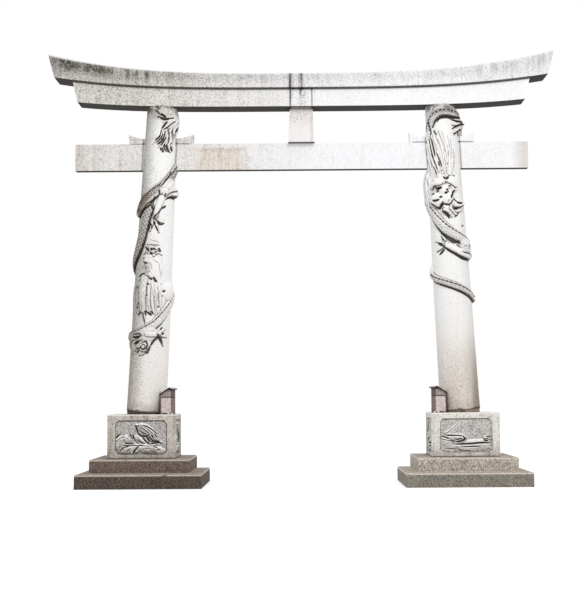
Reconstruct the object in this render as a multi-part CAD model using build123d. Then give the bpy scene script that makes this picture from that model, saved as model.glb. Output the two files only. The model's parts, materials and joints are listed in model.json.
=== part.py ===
from build123d import *
import math
import os

os.makedirs("parts", exist_ok=True)

# Stone gateway: +X to the right seen from the front, -Y towards the front, +Z up, in millimetres.
pillar_spacing = 4545.0
joint_gap = 4.0
seat_clearance = 2.0

# Two-tier base and plinth under each pillar.
plinth_spacing = 4588.0
step_height = 200.0
lower_step_width = 1760.0
upper_step_width = 1400.0
nosing_radius = 20.0
plinth_width = 966.0
plinth_height = 620.0
plinth_corner_chamfer = 42.0
plinth_edge_chamfer = 9.0
panel_width = 740.0
panel_height = 490.0
panel_centre_above_step = 300.0
panel_corner_cut = 50.0
panel_depth = 18.0
relief_rise = 14.0
relief_margin = 14.0

# Pillars that lean towards each other; their sides are straight at the foot and curve in towards the head.
pillar_foot_radius = 285.0
pillar_taper = 0.00497
pillar_head_curve = 44.2
pillar_lean = 0.0514
pillar_tenon = 90.0
pillar_foot_allowance = 60.0
mortar_outer_height = 58.0
mortar_inner_height = 8.0
mortar_inset = 7.0

# Tie beam, its wedges and the centre strut.
tie_beam_underside = 4573.0
tie_beam_height = 387.0
tie_beam_thickness = 150.0
tie_beam_length = 6620.0
wedge_thickness = 140.0
wedge_seat_height = 78.0
wedge_tip_height = 142.0
inner_wedge_reach = 262.0
outer_wedge_reach = 236.0
wedge_seat_run = 30.0
wedge_hollow = 0.30
wedge_tip_cutback = 14.0
strut_foot_width = 384.0
strut_head_width = 333.0
strut_depth = 262.0

# Lower lintel, with a short centre block, and the overhanging upper lintel.
lower_lintel_underside = 5483.0
lower_lintel_depth = 396.0
lower_lintel_foot_length = 6528.0
lower_lintel_head_length = 6676.0
lower_lintel_sweep = 82.0
lower_lintel_power = 4.0
centre_block_width = 316.0
lintel_joint_height = 5752.0
lintel_joint_sweep = 175.0
lintel_joint_power = 3.3
upper_lintel_overhang = 40.0
upper_lintel_foot_length = 7200.0
upper_lintel_head_length = 7380.0
upper_lintel_edge_height = 5960.0
upper_lintel_edge_sweep = 309.0
upper_lintel_edge_power = 3.0
upper_lintel_ridge_rise = 44.0

# Small offering boxes beside the pillar feet.
box_width = 142.0
box_depth = 240.0
box_height = 262.0
box_foot = 20.0
box_leg_width = 26.0
box_turn = 10.0
box_corner_x = 1880.0
box_corner_y = -410.0
box_roof_thickness = 18.0
box_roof_overhang = 22.0
box_gable_rise = 92.0
box_inner_drop = 14.0
box_ridge_offset = 20.0
box_eave_drop = 12.0
box_ridge_swell = 1.2

# Coiled dragons carved in high relief round the pillars.
dragon_body_radius = 86.0
dragon_loop_radius = 95.0
dragon_neck_radius = 78.0
dragon_tail_radius = 52.0
dragon_tail_tip_radius = 12.0
leg_radius = 84.0
ankle_radius = 46.0
shank_radius = 62.0
claw_radius = 27.0
claw_tip_radius = 5.0
lock_radius = 26.0
lock_tip_radius = 7.0
horn_radius = 27.0
whisker_radius = 17.0
brow_radius = 34.0
swelling_depth = 60.0
strand_station = 160.0
body_inset = 0.38

plinth_top = 2 * step_height + plinth_height
pillar_height = lower_lintel_underside - plinth_top
tie_beam_top = tie_beam_underside + tie_beam_height
lean_angle = math.degrees(math.atan(pillar_lean))


def write(shape, node):
    export_step(shape, "parts/" + node + ".step")


def other_side(shape):
    return mirror(shape, about=Plane.YZ)


def axis_x(height):
    return pillar_spacing / 2 - pillar_lean * (height - plinth_top)


def pillar_radius(height):
    # even taper, and a curve inwards that grows with the square of the height
    up = height - plinth_top
    return pillar_foot_radius - pillar_taper * up - pillar_head_curve * (up / pillar_height) ** 2


def sweep_height(base, rise, x, half_length, power):
    return base + rise * (abs(x) / half_length) ** power


def curved_profile(y, foot, head):
    # foot and head are (half length, height, end rise, power) of the lower and the upper curve
    stations = [step / 8 for step in range(-8, 9)]
    low = [(t * foot[0], y, sweep_height(foot[1], foot[2], t * foot[0], foot[0], foot[3])) for t in stations]
    high = [(t * head[0], y, sweep_height(head[1], head[2], t * head[0], head[0], head[3])) for t in stations]
    edges = [Spline(*low), Line(low[-1], high[-1]), Spline(*high[::-1]), Line(high[0], low[0])]
    return Face(Wire(edges))


# Base
lower_step = Pos(plinth_spacing / 2, 0, step_height / 2) * Box(lower_step_width, lower_step_width, step_height)
lower_step = fillet(lower_step.faces().sort_by(Axis.Z)[-1].edges(), nosing_radius)
upper_step = Pos(plinth_spacing / 2, 0, 1.5 * step_height) * Box(upper_step_width, upper_step_width, step_height)
upper_step = fillet(upper_step.faces().sort_by(Axis.Z)[-1].edges(), nosing_radius)
plinth = Pos(0, 0, plinth_height / 2) * Box(plinth_width, plinth_width, plinth_height)
plinth = chamfer(plinth.edges().filter_by(Axis.Z), plinth_corner_chamfer)
plinth = chamfer(plinth.faces().sort_by(Axis.Z)[-1].edges(), plinth_edge_chamfer)
panel_sketch = Rectangle(panel_width, panel_height)
panel_sketch = chamfer(panel_sketch.vertices(), panel_corner_cut)
quarter_turns = (0, 90, 180, 270)
for turn in quarter_turns:
    panel_plane = Plane(origin=(0, -plinth_width / 2, panel_centre_above_step), x_dir=(1, 0, 0), z_dir=(0, -1, 0))
    panel_cut = extrude(panel_plane * panel_sketch, -panel_depth)
    plinth = plinth - Rot(0, 0, turn) * panel_cut
plinth = Pos(plinth_spacing / 2, 0, 2 * step_height) * plinth


def low_form(across, up, half_width, half_height, lean=0.0, swell=1.0):
    # a shallow egg on the floor of the front panel, in percent of the panel's height: its middle is across and up
    # from the middle of the panel, lean turns it counter-clockwise, and swell is its share of the relief
    percent = panel_height / 100
    thick = (half_width * percent / relief_rise, swell, half_height * percent / relief_rise)
    middle = (across * percent, panel_depth - plinth_width / 2, panel_centre_above_step + up * percent)
    return Pos(*middle) * Rot(0, -lean, 0) * scale(Sphere(relief_rise), by=thick)


def plinth_relief(side, *forms):
    # the forms in front of the panel floor, repeated on the four faces of one plinth
    front = forms[0] + list(forms[1:])
    room = Box(panel_width - 2 * relief_margin, panel_depth, panel_height - 2 * relief_margin)
    front = front & (Pos(0, (panel_depth - plinth_width) / 2, panel_centre_above_step) * room)
    faces = [Rot(0, 0, turn) * front for turn in quarter_turns]
    return Pos(side * plinth_spacing / 2, 0, 2 * step_height) * (faces[0] + faces[1:])


# Left: a perched bird with a folded wing over rounded rocks; right: a rolled cloud with a long trail
left_relief = plinth_relief(
    -1,
    low_form(21.5, 15.3, 36.3, 15.1, -40),
    low_form(42.0, -3.7, 15.9, 9.0, -43),
    low_form(-12.2, 35.1, 6.1, 4.5, 20, 0.85),
    low_form(-6.9, -8.6, 18.8, 8.2, -46, 0.8),
    low_form(-38.8, -9.2, 18.8, 17.1),
    low_form(24.5, -34.7, 40.0, 12.7, -3),
    low_form(-21.4, -35.7, 22.4, 10.6, 38, 0.7),
    low_form(45.9, -15.5, 18.8, 3.7, 5, 0.7),
)
right_relief = plinth_relief(
    1,
    low_form(-28.6, -6.5, 26.9, 9.8),
    low_form(-2.4, -9.0, 6.9, 10.6, 0, 1.15),
    low_form(18.4, -18.8, 53.5, 3.7, 2),
    low_form(61.2, -7.8, 11.8, 6.5, 0, 0.8),
    low_form(-43.9, 11.8, 30.2, 4.5, 48, 0.65),
    low_form(14.3, -33.1, 44.9, 6.1, 2, 0.5),
)

# Lintels
half_lower = lower_lintel_depth / 2
half_upper = half_lower + upper_lintel_overhang
lower_foot = (lower_lintel_foot_length / 2, lower_lintel_underside, lower_lintel_sweep, lower_lintel_power)
joint_rise_at_end = lintel_joint_sweep * (lower_lintel_head_length / upper_lintel_foot_length) ** lintel_joint_power
lower_head = (lower_lintel_head_length / 2, lintel_joint_height, joint_rise_at_end, lintel_joint_power)
upper_foot = (upper_lintel_foot_length / 2, lintel_joint_height, lintel_joint_sweep, lintel_joint_power)
upper_edge = (upper_lintel_edge_sweep, upper_lintel_edge_power)
upper_head = (upper_lintel_head_length / 2, upper_lintel_edge_height, *upper_edge)
ridge_head = (upper_lintel_head_length / 2, upper_lintel_edge_height + upper_lintel_ridge_rise, *upper_edge)
upper_lintel = loft(
    [
        curved_profile(-half_upper, upper_foot, upper_head),
        curved_profile(0, upper_foot, ridge_head),
        curved_profile(half_upper, upper_foot, upper_head),
    ],
    ruled=True,
)
lower_lintel = extrude(curved_profile(-half_lower, lower_foot, lower_head), lower_lintel_depth, dir=(0, 1, 0))
lower_lintel = lower_lintel - upper_lintel


def slab(x0, x1):
    # everything between two upright planes across the lintels
    return Pos((x0 + x1) / 2, 0, lintel_joint_height) * Box(x1 - x0, 2 * lower_lintel_depth, 2 * pillar_height)


half_block = centre_block_width / 2
past_end = upper_lintel_head_length
upper_left = upper_lintel & slab(-past_end, -half_block - joint_gap / 2)
upper_right = upper_lintel & slab(-half_block + joint_gap / 2, past_end)
lintel_left = (lower_lintel & slab(-past_end, -half_block - joint_gap / 2)) - upper_left
lintel_centre = (lower_lintel & slab(-half_block + joint_gap / 2, half_block - joint_gap / 2)) - upper_right
lintel_right = (lower_lintel & slab(half_block + joint_gap / 2, past_end)) - upper_right

# Pillar with its tilted foot on a mortar bed and a through mortise for the tie beam
shaft_bottom = plinth_top - pillar_foot_allowance
shaft_top = lower_lintel_underside + pillar_tenon
shaft_length = (shaft_top - shaft_bottom) / math.cos(math.radians(lean_angle))
foot_edge = pillar_radius(shaft_bottom)
head_edge = pillar_radius(shaft_top)
middle_pull = 2 * pillar_radius((shaft_bottom + shaft_top) / 2) - (foot_edge + head_edge) / 2
shaft_side = Bezier((foot_edge, 0, 0), (middle_pull, 0, shaft_length / 2), (head_edge, 0, shaft_length))
shaft_rest = Polyline((head_edge, 0, shaft_length), (0, 0, shaft_length), (0, 0, 0), (foot_edge, 0, 0))
shaft = revolve(Face(Wire([shaft_side] + shaft_rest.edges())), Axis.Z)
shaft = Pos(axis_x(shaft_bottom), 0, shaft_bottom) * Rot(0, -lean_angle, 0) * shaft
foot_x = axis_x(plinth_top)
bed_low = plinth_top + mortar_inner_height
bed_high = plinth_top + mortar_outer_height
bed_slope = (bed_high - bed_low) / (2 * pillar_foot_radius)
bed_outline = Polyline(
    (foot_x - 2 * pillar_foot_radius, 0, plinth_top - 2 * pillar_foot_allowance),
    (foot_x + 2 * pillar_foot_radius, 0, plinth_top - 2 * pillar_foot_allowance),
    (foot_x + 2 * pillar_foot_radius, 0, bed_high + bed_slope * pillar_foot_radius),
    (foot_x - 2 * pillar_foot_radius, 0, bed_low - bed_slope * pillar_foot_radius),
    close=True,
)
bed_wedge = extrude(Face(Wire(bed_outline.edges())), 2 * pillar_foot_radius, dir=(0, 1, 0), both=True)
bedding_align = (Align.CENTER, Align.CENTER, Align.MIN)
bedding = Cylinder(pillar_foot_radius - mortar_inset, 2 * mortar_outer_height, align=bedding_align)
bedding = (Pos(foot_x, 0, plinth_top) * bedding) & bed_wedge
mortise_top = tie_beam_top + wedge_seat_height + seat_clearance
mortise = Box(4 * pillar_foot_radius, tie_beam_thickness + 2 * seat_clearance, mortise_top - tie_beam_underside)
mortise = Pos(axis_x(tie_beam_top), 0, (mortise_top + tie_beam_underside) / 2) * mortise
pillar = shaft - bed_wedge - lintel_right - upper_right
pillar = pillar - mortise

# Tie beam in three stones that meet inside the pillars
meet_x = axis_x((tie_beam_underside + tie_beam_top) / 2)
tie_z = (tie_beam_underside + tie_beam_top) / 2
tie_middle = Box(2 * meet_x - joint_gap, tie_beam_thickness, tie_beam_height)
tie_middle = Pos(0, 0, tie_z) * tie_middle
end_length = tie_beam_length / 2 - meet_x - joint_gap / 2
tie_end = Pos(tie_beam_length / 2 - end_length / 2, 0, tie_z) * Box(end_length, tie_beam_thickness, tie_beam_height)

# Wedges driven in on top of the tie beam, hollow-topped and flaring at their outer ends
wedge_z = tie_beam_top + wedge_seat_height


def wedge(towards, reach):
    face_x = axis_x(wedge_z) + towards * pillar_radius(wedge_z)
    tip_x = face_x + towards * reach
    root_x = axis_x(wedge_z) + towards * joint_gap
    seat = (face_x - towards * wedge_seat_run, 0, wedge_z)
    tip = (tip_x, 0, tie_beam_top + wedge_tip_height)
    middle = (face_x + towards * reach / 2, 0, wedge_z + wedge_hollow * (wedge_tip_height - wedge_seat_height))
    hollow = ThreePointArc(seat, middle, tip)
    toe = (tip_x - towards * wedge_tip_cutback, 0, tie_beam_top)
    rest = Polyline(tip, toe, (root_x, 0, tie_beam_top), (root_x, 0, wedge_z), seat)
    outline = Face(Wire([hollow] + rest.edges()))
    return extrude(outline, wedge_thickness / 2, dir=(0, 1, 0), both=True)


inner_wedge = wedge(-1, inner_wedge_reach)
outer_wedge = wedge(1, outer_wedge_reach)

# Centre strut, narrower at the head
strut_outline = Polyline(
    (-strut_foot_width / 2, 0, tie_beam_top),
    (strut_foot_width / 2, 0, tie_beam_top),
    (strut_head_width / 2, 0, lower_lintel_underside + seat_clearance),
    (-strut_head_width / 2, 0, lower_lintel_underside + seat_clearance),
    close=True,
)
strut = extrude(Face(Wire(strut_outline.edges())), strut_depth / 2, dir=(0, 1, 0), both=True)
strut = strut - lintel_left - lintel_centre - lintel_right
strut = strut.solids().sort_by(Axis.Z)[0]

# Offering box with a lopsided roof
box_body = Box(box_width, box_depth, box_height, align=(Align.MIN, Align.MIN, Align.MIN))
box_body = Pos(0, 0, box_foot) * box_body
for corner_x in (0, box_width - box_leg_width):
    for corner_y in (0, box_depth - box_leg_width):
        foot = Box(box_leg_width, box_leg_width, box_foot, align=(Align.MIN, Align.MIN, Align.MIN))
        box_body = box_body + Pos(corner_x, corner_y, 0) * foot
box_top = box_foot + box_height
ridge_z = box_top + box_gable_rise - box_eave_drop
inner_z = box_top + box_gable_rise - box_inner_drop
eave_x = box_width + box_roof_overhang
gable = Polyline(
    (0, 0, box_top),
    (box_width, 0, box_top),
    (box_ridge_offset, 0, ridge_z),
    (0, 0, inner_z),
    close=True,
)
box_body = box_body + extrude(Face(Wire(gable.edges())), box_depth, dir=(0, 1, 0))
roof_outline = Polyline(
    (box_ridge_offset, 0, ridge_z),
    (box_width, 0, box_top),
    (eave_x, 0, box_top - box_eave_drop),
    (eave_x, 0, box_top - box_eave_drop + box_roof_thickness),
    (box_ridge_offset, 0, ridge_z + box_roof_thickness * box_ridge_swell),
    (-box_roof_overhang, 0, inner_z - box_eave_drop + box_roof_thickness),
    (-box_roof_overhang, 0, inner_z - box_eave_drop),
    (0, 0, inner_z),
    close=True,
)
roof_depth = box_depth + 2 * box_roof_overhang
box_roof = Pos(0, -box_roof_overhang, 0) * extrude(Face(Wire(roof_outline.edges())), roof_depth, dir=(0, 1, 0))
box_place = Pos(box_corner_x, box_corner_y, plinth_top) * Rot(0, 0, box_turn)
box_body = box_place * box_body
box_roof = (box_place * box_roof) - box_body


def carving_height(level):
    # a level is in percent of the height between the plinth and the lintel
    return plinth_top + pillar_height * level / 100


def wrap_point(side, angle, height, stand_off):
    # the angle runs from the front (0) towards +X (90)
    reach = pillar_radius(height) + stand_off
    turn = math.radians(angle)
    return (side * axis_x(height) + reach * math.sin(turn), -reach * math.cos(turn), height)


def strand(side, path, radii, inset=body_inset):
    # a round limb: its path of (angle, level) is drawn on the unrolled shaft and wrapped round it, its radii are
    # spread evenly along it, and inset times its radius lies below the face of the shaft
    sheet = [(math.radians(angle) * pillar_foot_radius, carving_height(level)) for angle, level in path]
    drawn = Spline(*sheet) if len(sheet) > 2 else Line(*sheet)
    count = max(4, int(drawn.length / strand_station))
    points = []
    for step in range(count + 1):
        place = drawn @ (step / count)
        share = step / count * (len(radii) - 1)
        before = min(int(share), len(radii) - 2)
        radius = radii[before] + (radii[before + 1] - radii[before]) * (share - before)
        points.append(wrap_point(side, math.degrees(place.X / pillar_foot_radius), place.Y, -inset * radius))
    line = Spline(*points)
    sections = []
    for step, radius in enumerate(radii):
        t = step / (len(radii) - 1)
        sections.append(Plane(origin=line @ t, z_dir=line % t) * Circle(radius))
    return sweep(sections, path=line, multisection=True)


def swelling(side, angle, level, half_width, half_height, rise, lean=0):
    # an egg-shaped form that meets the shaft in an outline of half_width by half_height; its summit stands rise
    # above the face, its middle lies swelling_depth below it, and lean turns it counter-clockwise seen from outside
    height = carving_height(level)
    radius = pillar_radius(height)
    turn = half_width / radius
    across = radius * math.sin(turn)
    reach = swelling_depth + rise
    sunk = (swelling_depth - radius * (1 - math.cos(turn))) / reach
    wide = across / math.sqrt(1 - sunk**2)
    tall = half_height / math.sqrt(1 - (swelling_depth / reach) ** 2)
    egg = scale(Sphere(reach), by=(wide / reach, 1, tall / reach))
    egg = Pos(0, swelling_depth - radius, 0) * Rot(0, -lean, 0) * egg
    return Pos(side * axis_x(height), 0, height) * Rot(0, 0, angle) * egg


def claws(side, wrist, *tips):
    # toes that spread from the wrist, each ending in a pointed claw
    return [strand(side, [wrist, tip], (claw_radius, claw_tip_radius), 0) for tip in tips]


def locks(side, *paths):
    return [strand(side, path, (lock_radius, lock_tip_radius), 0) for path in paths]


def joined(*forms):
    return forms[0] + list(forms[1:])


def carved(stones, form, *neighbours):
    # the form as far as it stands out of the stones and clear of the neighbouring forms
    for other in (*neighbours, *stones):
        form = form - other
    return form


right_stones = [shaft, tie_middle, tie_end, inner_wedge, outer_wedge, lintel_right]
left_stones = [other_side(stone) for stone in right_stones[:-1]] + [lintel_left]

# Left pillar: a dragon that comes down head first
left_head_form = joined(
    swelling(-1, -12, 49.3, 118, 122, 52),
    swelling(-1, 10, 47.0, 115, 180, 44, 9),
    swelling(-1, -24, 40.0, 88, 260, 48),
    swelling(-1, 14, 38.5, 150, 260, 28, 6),
    *locks(-1, [(-28, 52.0), (-17, 54.8), (2, 54.6), (20, 52.6)], [(4, 51.2), (16, 52.2), (32, 51.2)]),
    *locks(-1, [(-46, 43.0), (-52, 38.0), (-44, 33.0)], [(26, 41.5), (28, 37.0), (38, 33.0)]),
    *locks(-1, [(4, 41.8), (6, 37.0), (14, 32.2)]),
)
left_hind_leg_form = joined(
    swelling(-1, 40, 73.5, 145, 130, 64, 29),
    swelling(-1, 78, 72.0, 105, 80, 72, -17),
    strand(-1, [(26, 72.0), (14, 68.4), (1, 63.6)], (shank_radius, ankle_radius)),
    *claws(-1, (2, 63.6), (-14, 59.2), (16, 58.8), (32, 61.7)),
)
left_foreleg_form = joined(
    swelling(-1, -4, 25.6, 150, 105, 56, 11),
    swelling(-1, -12, 21.8, 100, 95, 34),
    strand(-1, [(4, 25.8), (31, 25.8)], (shank_radius, ankle_radius)),
    *claws(-1, (29, 25.8), (60, 27.8), (64, 24.9), (48, 22.0)),
)
left_upper_form = strand(
    -1,
    [(215, 89.6), (150, 86.9), (78, 79.8), (20, 73.5), (-28, 69.8), (-72, 65.7)],
    (claw_radius, dragon_neck_radius, dragon_body_radius, dragon_body_radius),
)
left_middle_form = strand(
    -1,
    [(-20, 66.4), (-38, 59.6), (-66, 51.5), (-104, 47.9), (-190, 41.7), (-264, 38.1)],
    (dragon_neck_radius, dragon_body_radius, dragon_body_radius),
)
left_tail_form = joined(
    strand(
        -1,
        [(97, 38.1), (62, 34.7), (22, 29.5), (-29, 26.1), (-100, 24.6), (-178, 20.4)],
        (dragon_neck_radius, dragon_tail_radius + 14, dragon_tail_radius + 10, lock_radius),
    ),
    swelling(-1, 60, 39.9, 115, 140, 62, 11),
)
left_tuft_form = joined(
    swelling(-1, 58, 95.2, 170, 200, 56, 11),
    swelling(-1, 22, 97.6, 190, 90, 44, 9),
    *locks(-1, [(38, 95.0), (8, 91.5), (-16, 88.4)], [(42, 93.5), (24, 90.0), (10, 86.0)]),
    *locks(-1, [(54, 93.6), (46, 90.0), (44, 85.2)], [(64, 93.6), (60, 89.6), (56, 86.0)]),
)
left_head = carved(left_stones, left_head_form)
left_hind_leg = carved(left_stones, left_hind_leg_form)
left_foreleg = carved(left_stones, left_foreleg_form)
left_upper_coil = carved(left_stones, left_upper_form, left_hind_leg_form)
left_middle_coil = carved(left_stones, left_middle_form, left_hind_leg_form, left_upper_form, left_head_form)
left_tail = carved(left_stones, left_tail_form, left_foreleg_form, left_head_form, left_middle_form)
left_tuft = carved(left_stones, left_tuft_form)

# Right pillar: a dragon that climbs, with its head below the topmost loop
right_head_form = joined(
    swelling(1, -28, 74.2, 145, 85, 70, 6),
    swelling(1, 18, 73.7, 125, 115, 56, 17),
    swelling(1, -14, 72.1, 75, 145, 72, 17),
    swelling(1, -38, 68.8, 120, 122, 90, 17),
    swelling(1, -3, 69.5, 125, 112, 66, 11),
    swelling(1, 38, 67.4, 115, 82, 50, -11),
    swelling(1, -6, 65.2, 95, 75, 40, -17),
    strand(1, [(10, 76.5), (14, 81.6), (13, 86.6)], (horn_radius, lock_tip_radius), 0),
    strand(1, [(27, 76.5), (34, 81.2), (36, 85.2)], (horn_radius, lock_tip_radius), 0),
    strand(1, [(20, 66.8), (36, 66.4), (54, 67.6)], (whisker_radius, lock_tip_radius), 0),
    strand(1, [(-6, 74.6), (-30, 74.6), (-56, 72.8)], (brow_radius, whisker_radius)),
    strand(1, [(2, 74.8), (12, 74.2), (24, 73.0)], (brow_radius, whisker_radius)),
)
right_mane_form = joined(
    swelling(1, -36, 84.2, 165, 340, 36, 11),
    swelling(1, -88, 72.8, 135, 240, 68),
    *locks(1, [(-30, 91.4), (-12, 86.0), (-8, 78.0)], [(-40, 92.0), (-26, 86.0), (-15, 78.6)]),
    *locks(1, [(-50, 90.4), (-40, 84.0), (-25, 78.0)], [(-58, 88.6), (-52, 81.0), (-36, 75.6)]),
    *locks(1, [(-72, 83.4), (-86, 76.0), (-84, 70.4)], [(-74, 80.6), (-73, 74.0), (-66, 68.6)]),
)
right_foreleg_form = joined(
    swelling(1, 52, 53.8, 135, 118, 70, -17),
    strand(1, [(76, 49.4), (38, 50.6), (0, 52.7), (-19, 54.0)], (leg_radius, dragon_neck_radius - 8, ankle_radius)),
    *claws(1, (-14, 54.2), (-28, 58.0), (-54, 55.3), (-50, 51.9)),
)
right_claw_form = joined(
    swelling(1, 62, 93.4, 125, 95, 48, 11),
    *claws(1, (88, 93.6), (40, 91.0), (36, 93.4), (42, 95.4)),
)
right_upper_form = strand(
    1,
    [(-70, 66.6), (-110, 69.9), (-190, 78.0), (-258, 90.5), (-304, 97.2), (-360, 98.1), (-412, 94.1), (-420, 86.0)],
    (dragon_body_radius, dragon_loop_radius, dragon_loop_radius, dragon_body_radius, ankle_radius),
)
right_middle_form = strand(
    1,
    [(-108, 69.5), (-78, 66.8), (-34, 61.5), (17, 57.0), (90, 53.8), (185, 48.8), (264, 45.0)],
    (dragon_loop_radius, dragon_body_radius, dragon_neck_radius, dragon_tail_radius + 10),
)
right_tail_form = strand(
    1,
    [(-96, 45.0), (-68, 43.5), (-12, 41.3), (46, 38.8), (120, 35.4), (205, 33.2)],
    (dragon_tail_radius + 4, dragon_tail_radius, dragon_tail_radius - 6, dragon_tail_tip_radius),
)
right_head = carved(right_stones, right_head_form)
right_mane = carved(right_stones, right_mane_form, right_head_form)
right_foreleg = carved(right_stones, right_foreleg_form)
right_upper_coil = carved(right_stones, right_upper_form, right_head_form, right_mane_form)
right_middle_coil = carved(
    right_stones, right_middle_form, right_foreleg_form, right_head_form, right_mane_form, right_upper_form
)
right_tail = carved(right_stones, right_tail_form, right_middle_form)
right_claw = carved(right_stones, right_claw_form, right_upper_form)

write(lower_step, "right_lower_step")
write(other_side(lower_step), "left_lower_step")
write(upper_step, "right_upper_step")
write(other_side(upper_step), "left_upper_step")
write(plinth, "right_plinth")
write(other_side(plinth), "left_plinth")
write(left_relief, "left_plinth_relief")
write(right_relief, "right_plinth_relief")
write(bedding, "right_pillar_bedding")
write(other_side(bedding), "left_pillar_bedding")
write(pillar, "right_pillar")
write(other_side(pillar), "left_pillar")
write(inner_wedge, "right_inner_wedge")
write(other_side(inner_wedge), "left_inner_wedge")
write(outer_wedge, "right_outer_wedge")
write(other_side(outer_wedge), "left_outer_wedge")
write(tie_middle, "tie_beam_middle")
write(tie_end, "right_tie_beam_end")
write(other_side(tie_end), "left_tie_beam_end")
write(strut, "centre_strut")
write(lintel_left, "lower_lintel_left")
write(lintel_centre, "lower_lintel_centre")
write(lintel_right, "lower_lintel_right")
write(upper_left, "upper_lintel_left")
write(upper_right, "upper_lintel_right")
write(box_body, "right_offering_box")
write(other_side(box_body), "left_offering_box")
write(box_roof, "right_offering_box_roof")
write(other_side(box_roof), "left_offering_box_roof")
write(left_upper_coil, "left_dragon_upper_coil")
write(left_middle_coil, "left_dragon_middle_coil")
write(left_tail, "left_dragon_tail")
write(left_tuft, "left_dragon_tuft")
write(left_head, "left_dragon_head")
write(left_hind_leg, "left_dragon_hind_leg")
write(left_foreleg, "left_dragon_foreleg")
write(right_upper_coil, "right_dragon_upper_coil")
write(right_middle_coil, "right_dragon_middle_coil")
write(right_tail, "right_dragon_tail")
write(right_head, "right_dragon_head")
write(right_mane, "right_dragon_mane")
write(right_foreleg, "right_dragon_foreleg")
write(right_claw, "right_dragon_claw")
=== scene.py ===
import json
import math

import bpy
import numpy as np
from mathutils import Matrix, Vector


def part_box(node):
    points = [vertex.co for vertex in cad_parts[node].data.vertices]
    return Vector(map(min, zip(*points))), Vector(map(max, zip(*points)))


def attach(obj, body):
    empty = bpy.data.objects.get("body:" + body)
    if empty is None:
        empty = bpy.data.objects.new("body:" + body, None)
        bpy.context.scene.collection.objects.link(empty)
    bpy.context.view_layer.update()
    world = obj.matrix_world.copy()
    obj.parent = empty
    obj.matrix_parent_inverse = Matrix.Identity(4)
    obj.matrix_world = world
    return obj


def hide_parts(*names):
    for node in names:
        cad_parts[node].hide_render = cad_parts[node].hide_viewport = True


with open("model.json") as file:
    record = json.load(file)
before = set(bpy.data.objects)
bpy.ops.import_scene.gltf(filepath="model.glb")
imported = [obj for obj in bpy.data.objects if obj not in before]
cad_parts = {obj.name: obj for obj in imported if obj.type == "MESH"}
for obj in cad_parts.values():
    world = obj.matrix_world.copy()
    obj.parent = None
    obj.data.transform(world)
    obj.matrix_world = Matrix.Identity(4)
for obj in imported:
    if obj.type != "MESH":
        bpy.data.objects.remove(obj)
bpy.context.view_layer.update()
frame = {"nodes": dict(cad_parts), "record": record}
print("frame loaded:", len(frame["nodes"]), "nodes")

view = {
    "place": (-0.020, -19.574, 1.3265),   # metres, in front of the gate at eye height
    "turn": -0.0060,                      # radians to the right
    "tilt": 0.0719,                       # radians upwards
    "roll": -0.0065,                      # radians about the line of sight
    "focal": 1346.67,                     # in pixels of the picture
    "picture": (586, 590),                # pixels across and down
    "sensor": 36.0,                       # millimetres
    "farthest": 200.0,                    # metres
}


def placeCamera(v):
    # forward = (sin turn cos tilt, cos turn cos tilt, sin tilt); right and up stand square to it and are
    # turned by roll about it; lens = focal / picture width * sensor
    turn, tilt, roll = v["turn"], v["tilt"], v["roll"]
    forward = Vector((math.sin(turn) * math.cos(tilt), math.cos(turn) * math.cos(tilt), math.sin(tilt)))
    right = Vector((math.cos(turn), -math.sin(turn), 0.0))
    up = right.cross(forward)
    c, s = math.cos(roll), math.sin(roll)
    axes = (right * c + up * s, up * c - right * s, -forward)
    data = bpy.data.cameras.new("photoCamera")
    data.sensor_fit = "HORIZONTAL"
    data.sensor_width = v["sensor"]
    data.lens = v["focal"] / v["picture"][0] * v["sensor"]
    data.clip_end = v["farthest"]
    camera = bpy.data.objects.new("photoCamera", data)
    bpy.context.scene.collection.objects.link(camera)
    facing = Matrix([[axis[i] for axis in axes] for i in range(3)]).to_4x4()
    camera.matrix_world = Matrix.Translation(Vector(v["place"])) @ facing
    bpy.context.scene.camera = camera


placeCamera(view)
print("camera placed")


def boxOf(name):
    # lowest and highest corner of a CAD node, to a tenth of a millimetre
    return [[round(v, 4) for v in corner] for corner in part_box(name)]


def midX(name):
    # (lowest x + highest x) / 2
    low, high = boxOf(name)
    return round((low[0] + high[0]) / 2, 4)


def topOf(name):
    # highest z of a CAD node
    return boxOf(name)[1][2]


# places that the finishes and the carved pieces share, in metres, taken from the CAD nodes
gate = {
    "lean": 0.0514,                                   # metres that a pillar leans inwards for each metre up
    "footX": midX("right_pillar_bedding"),            # the axis at the foot, from the middle of the gate
    "footZ": topOf("right_plinth"),
    "plinthX": midX("right_plinth"),
    "plinthFace": boxOf("right_plinth")[1][1],
    "plinthFoot": topOf("right_upper_step"),
    "lowerStepTop": topOf("right_lower_step"),
    "tieTop": topOf("tie_beam_middle"),
    "wedgeX": boxOf("right_outer_wedge")[0][0],       # where the wedges meet inside a pillar
    "strutTop": topOf("centre_strut"),
    "lintelFoot": boxOf("lower_lintel_centre")[0][2],
    "lintelJoint": topOf("lower_lintel_centre"),      # lower lintel's top in the middle of the gate
    "blockHalf": (boxOf("lower_lintel_centre")[1][0] + boxOf("lower_lintel_right")[0][0]) / 2,
    "upperEnd": boxOf("upper_lintel_right")[1][0],
}


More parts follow.
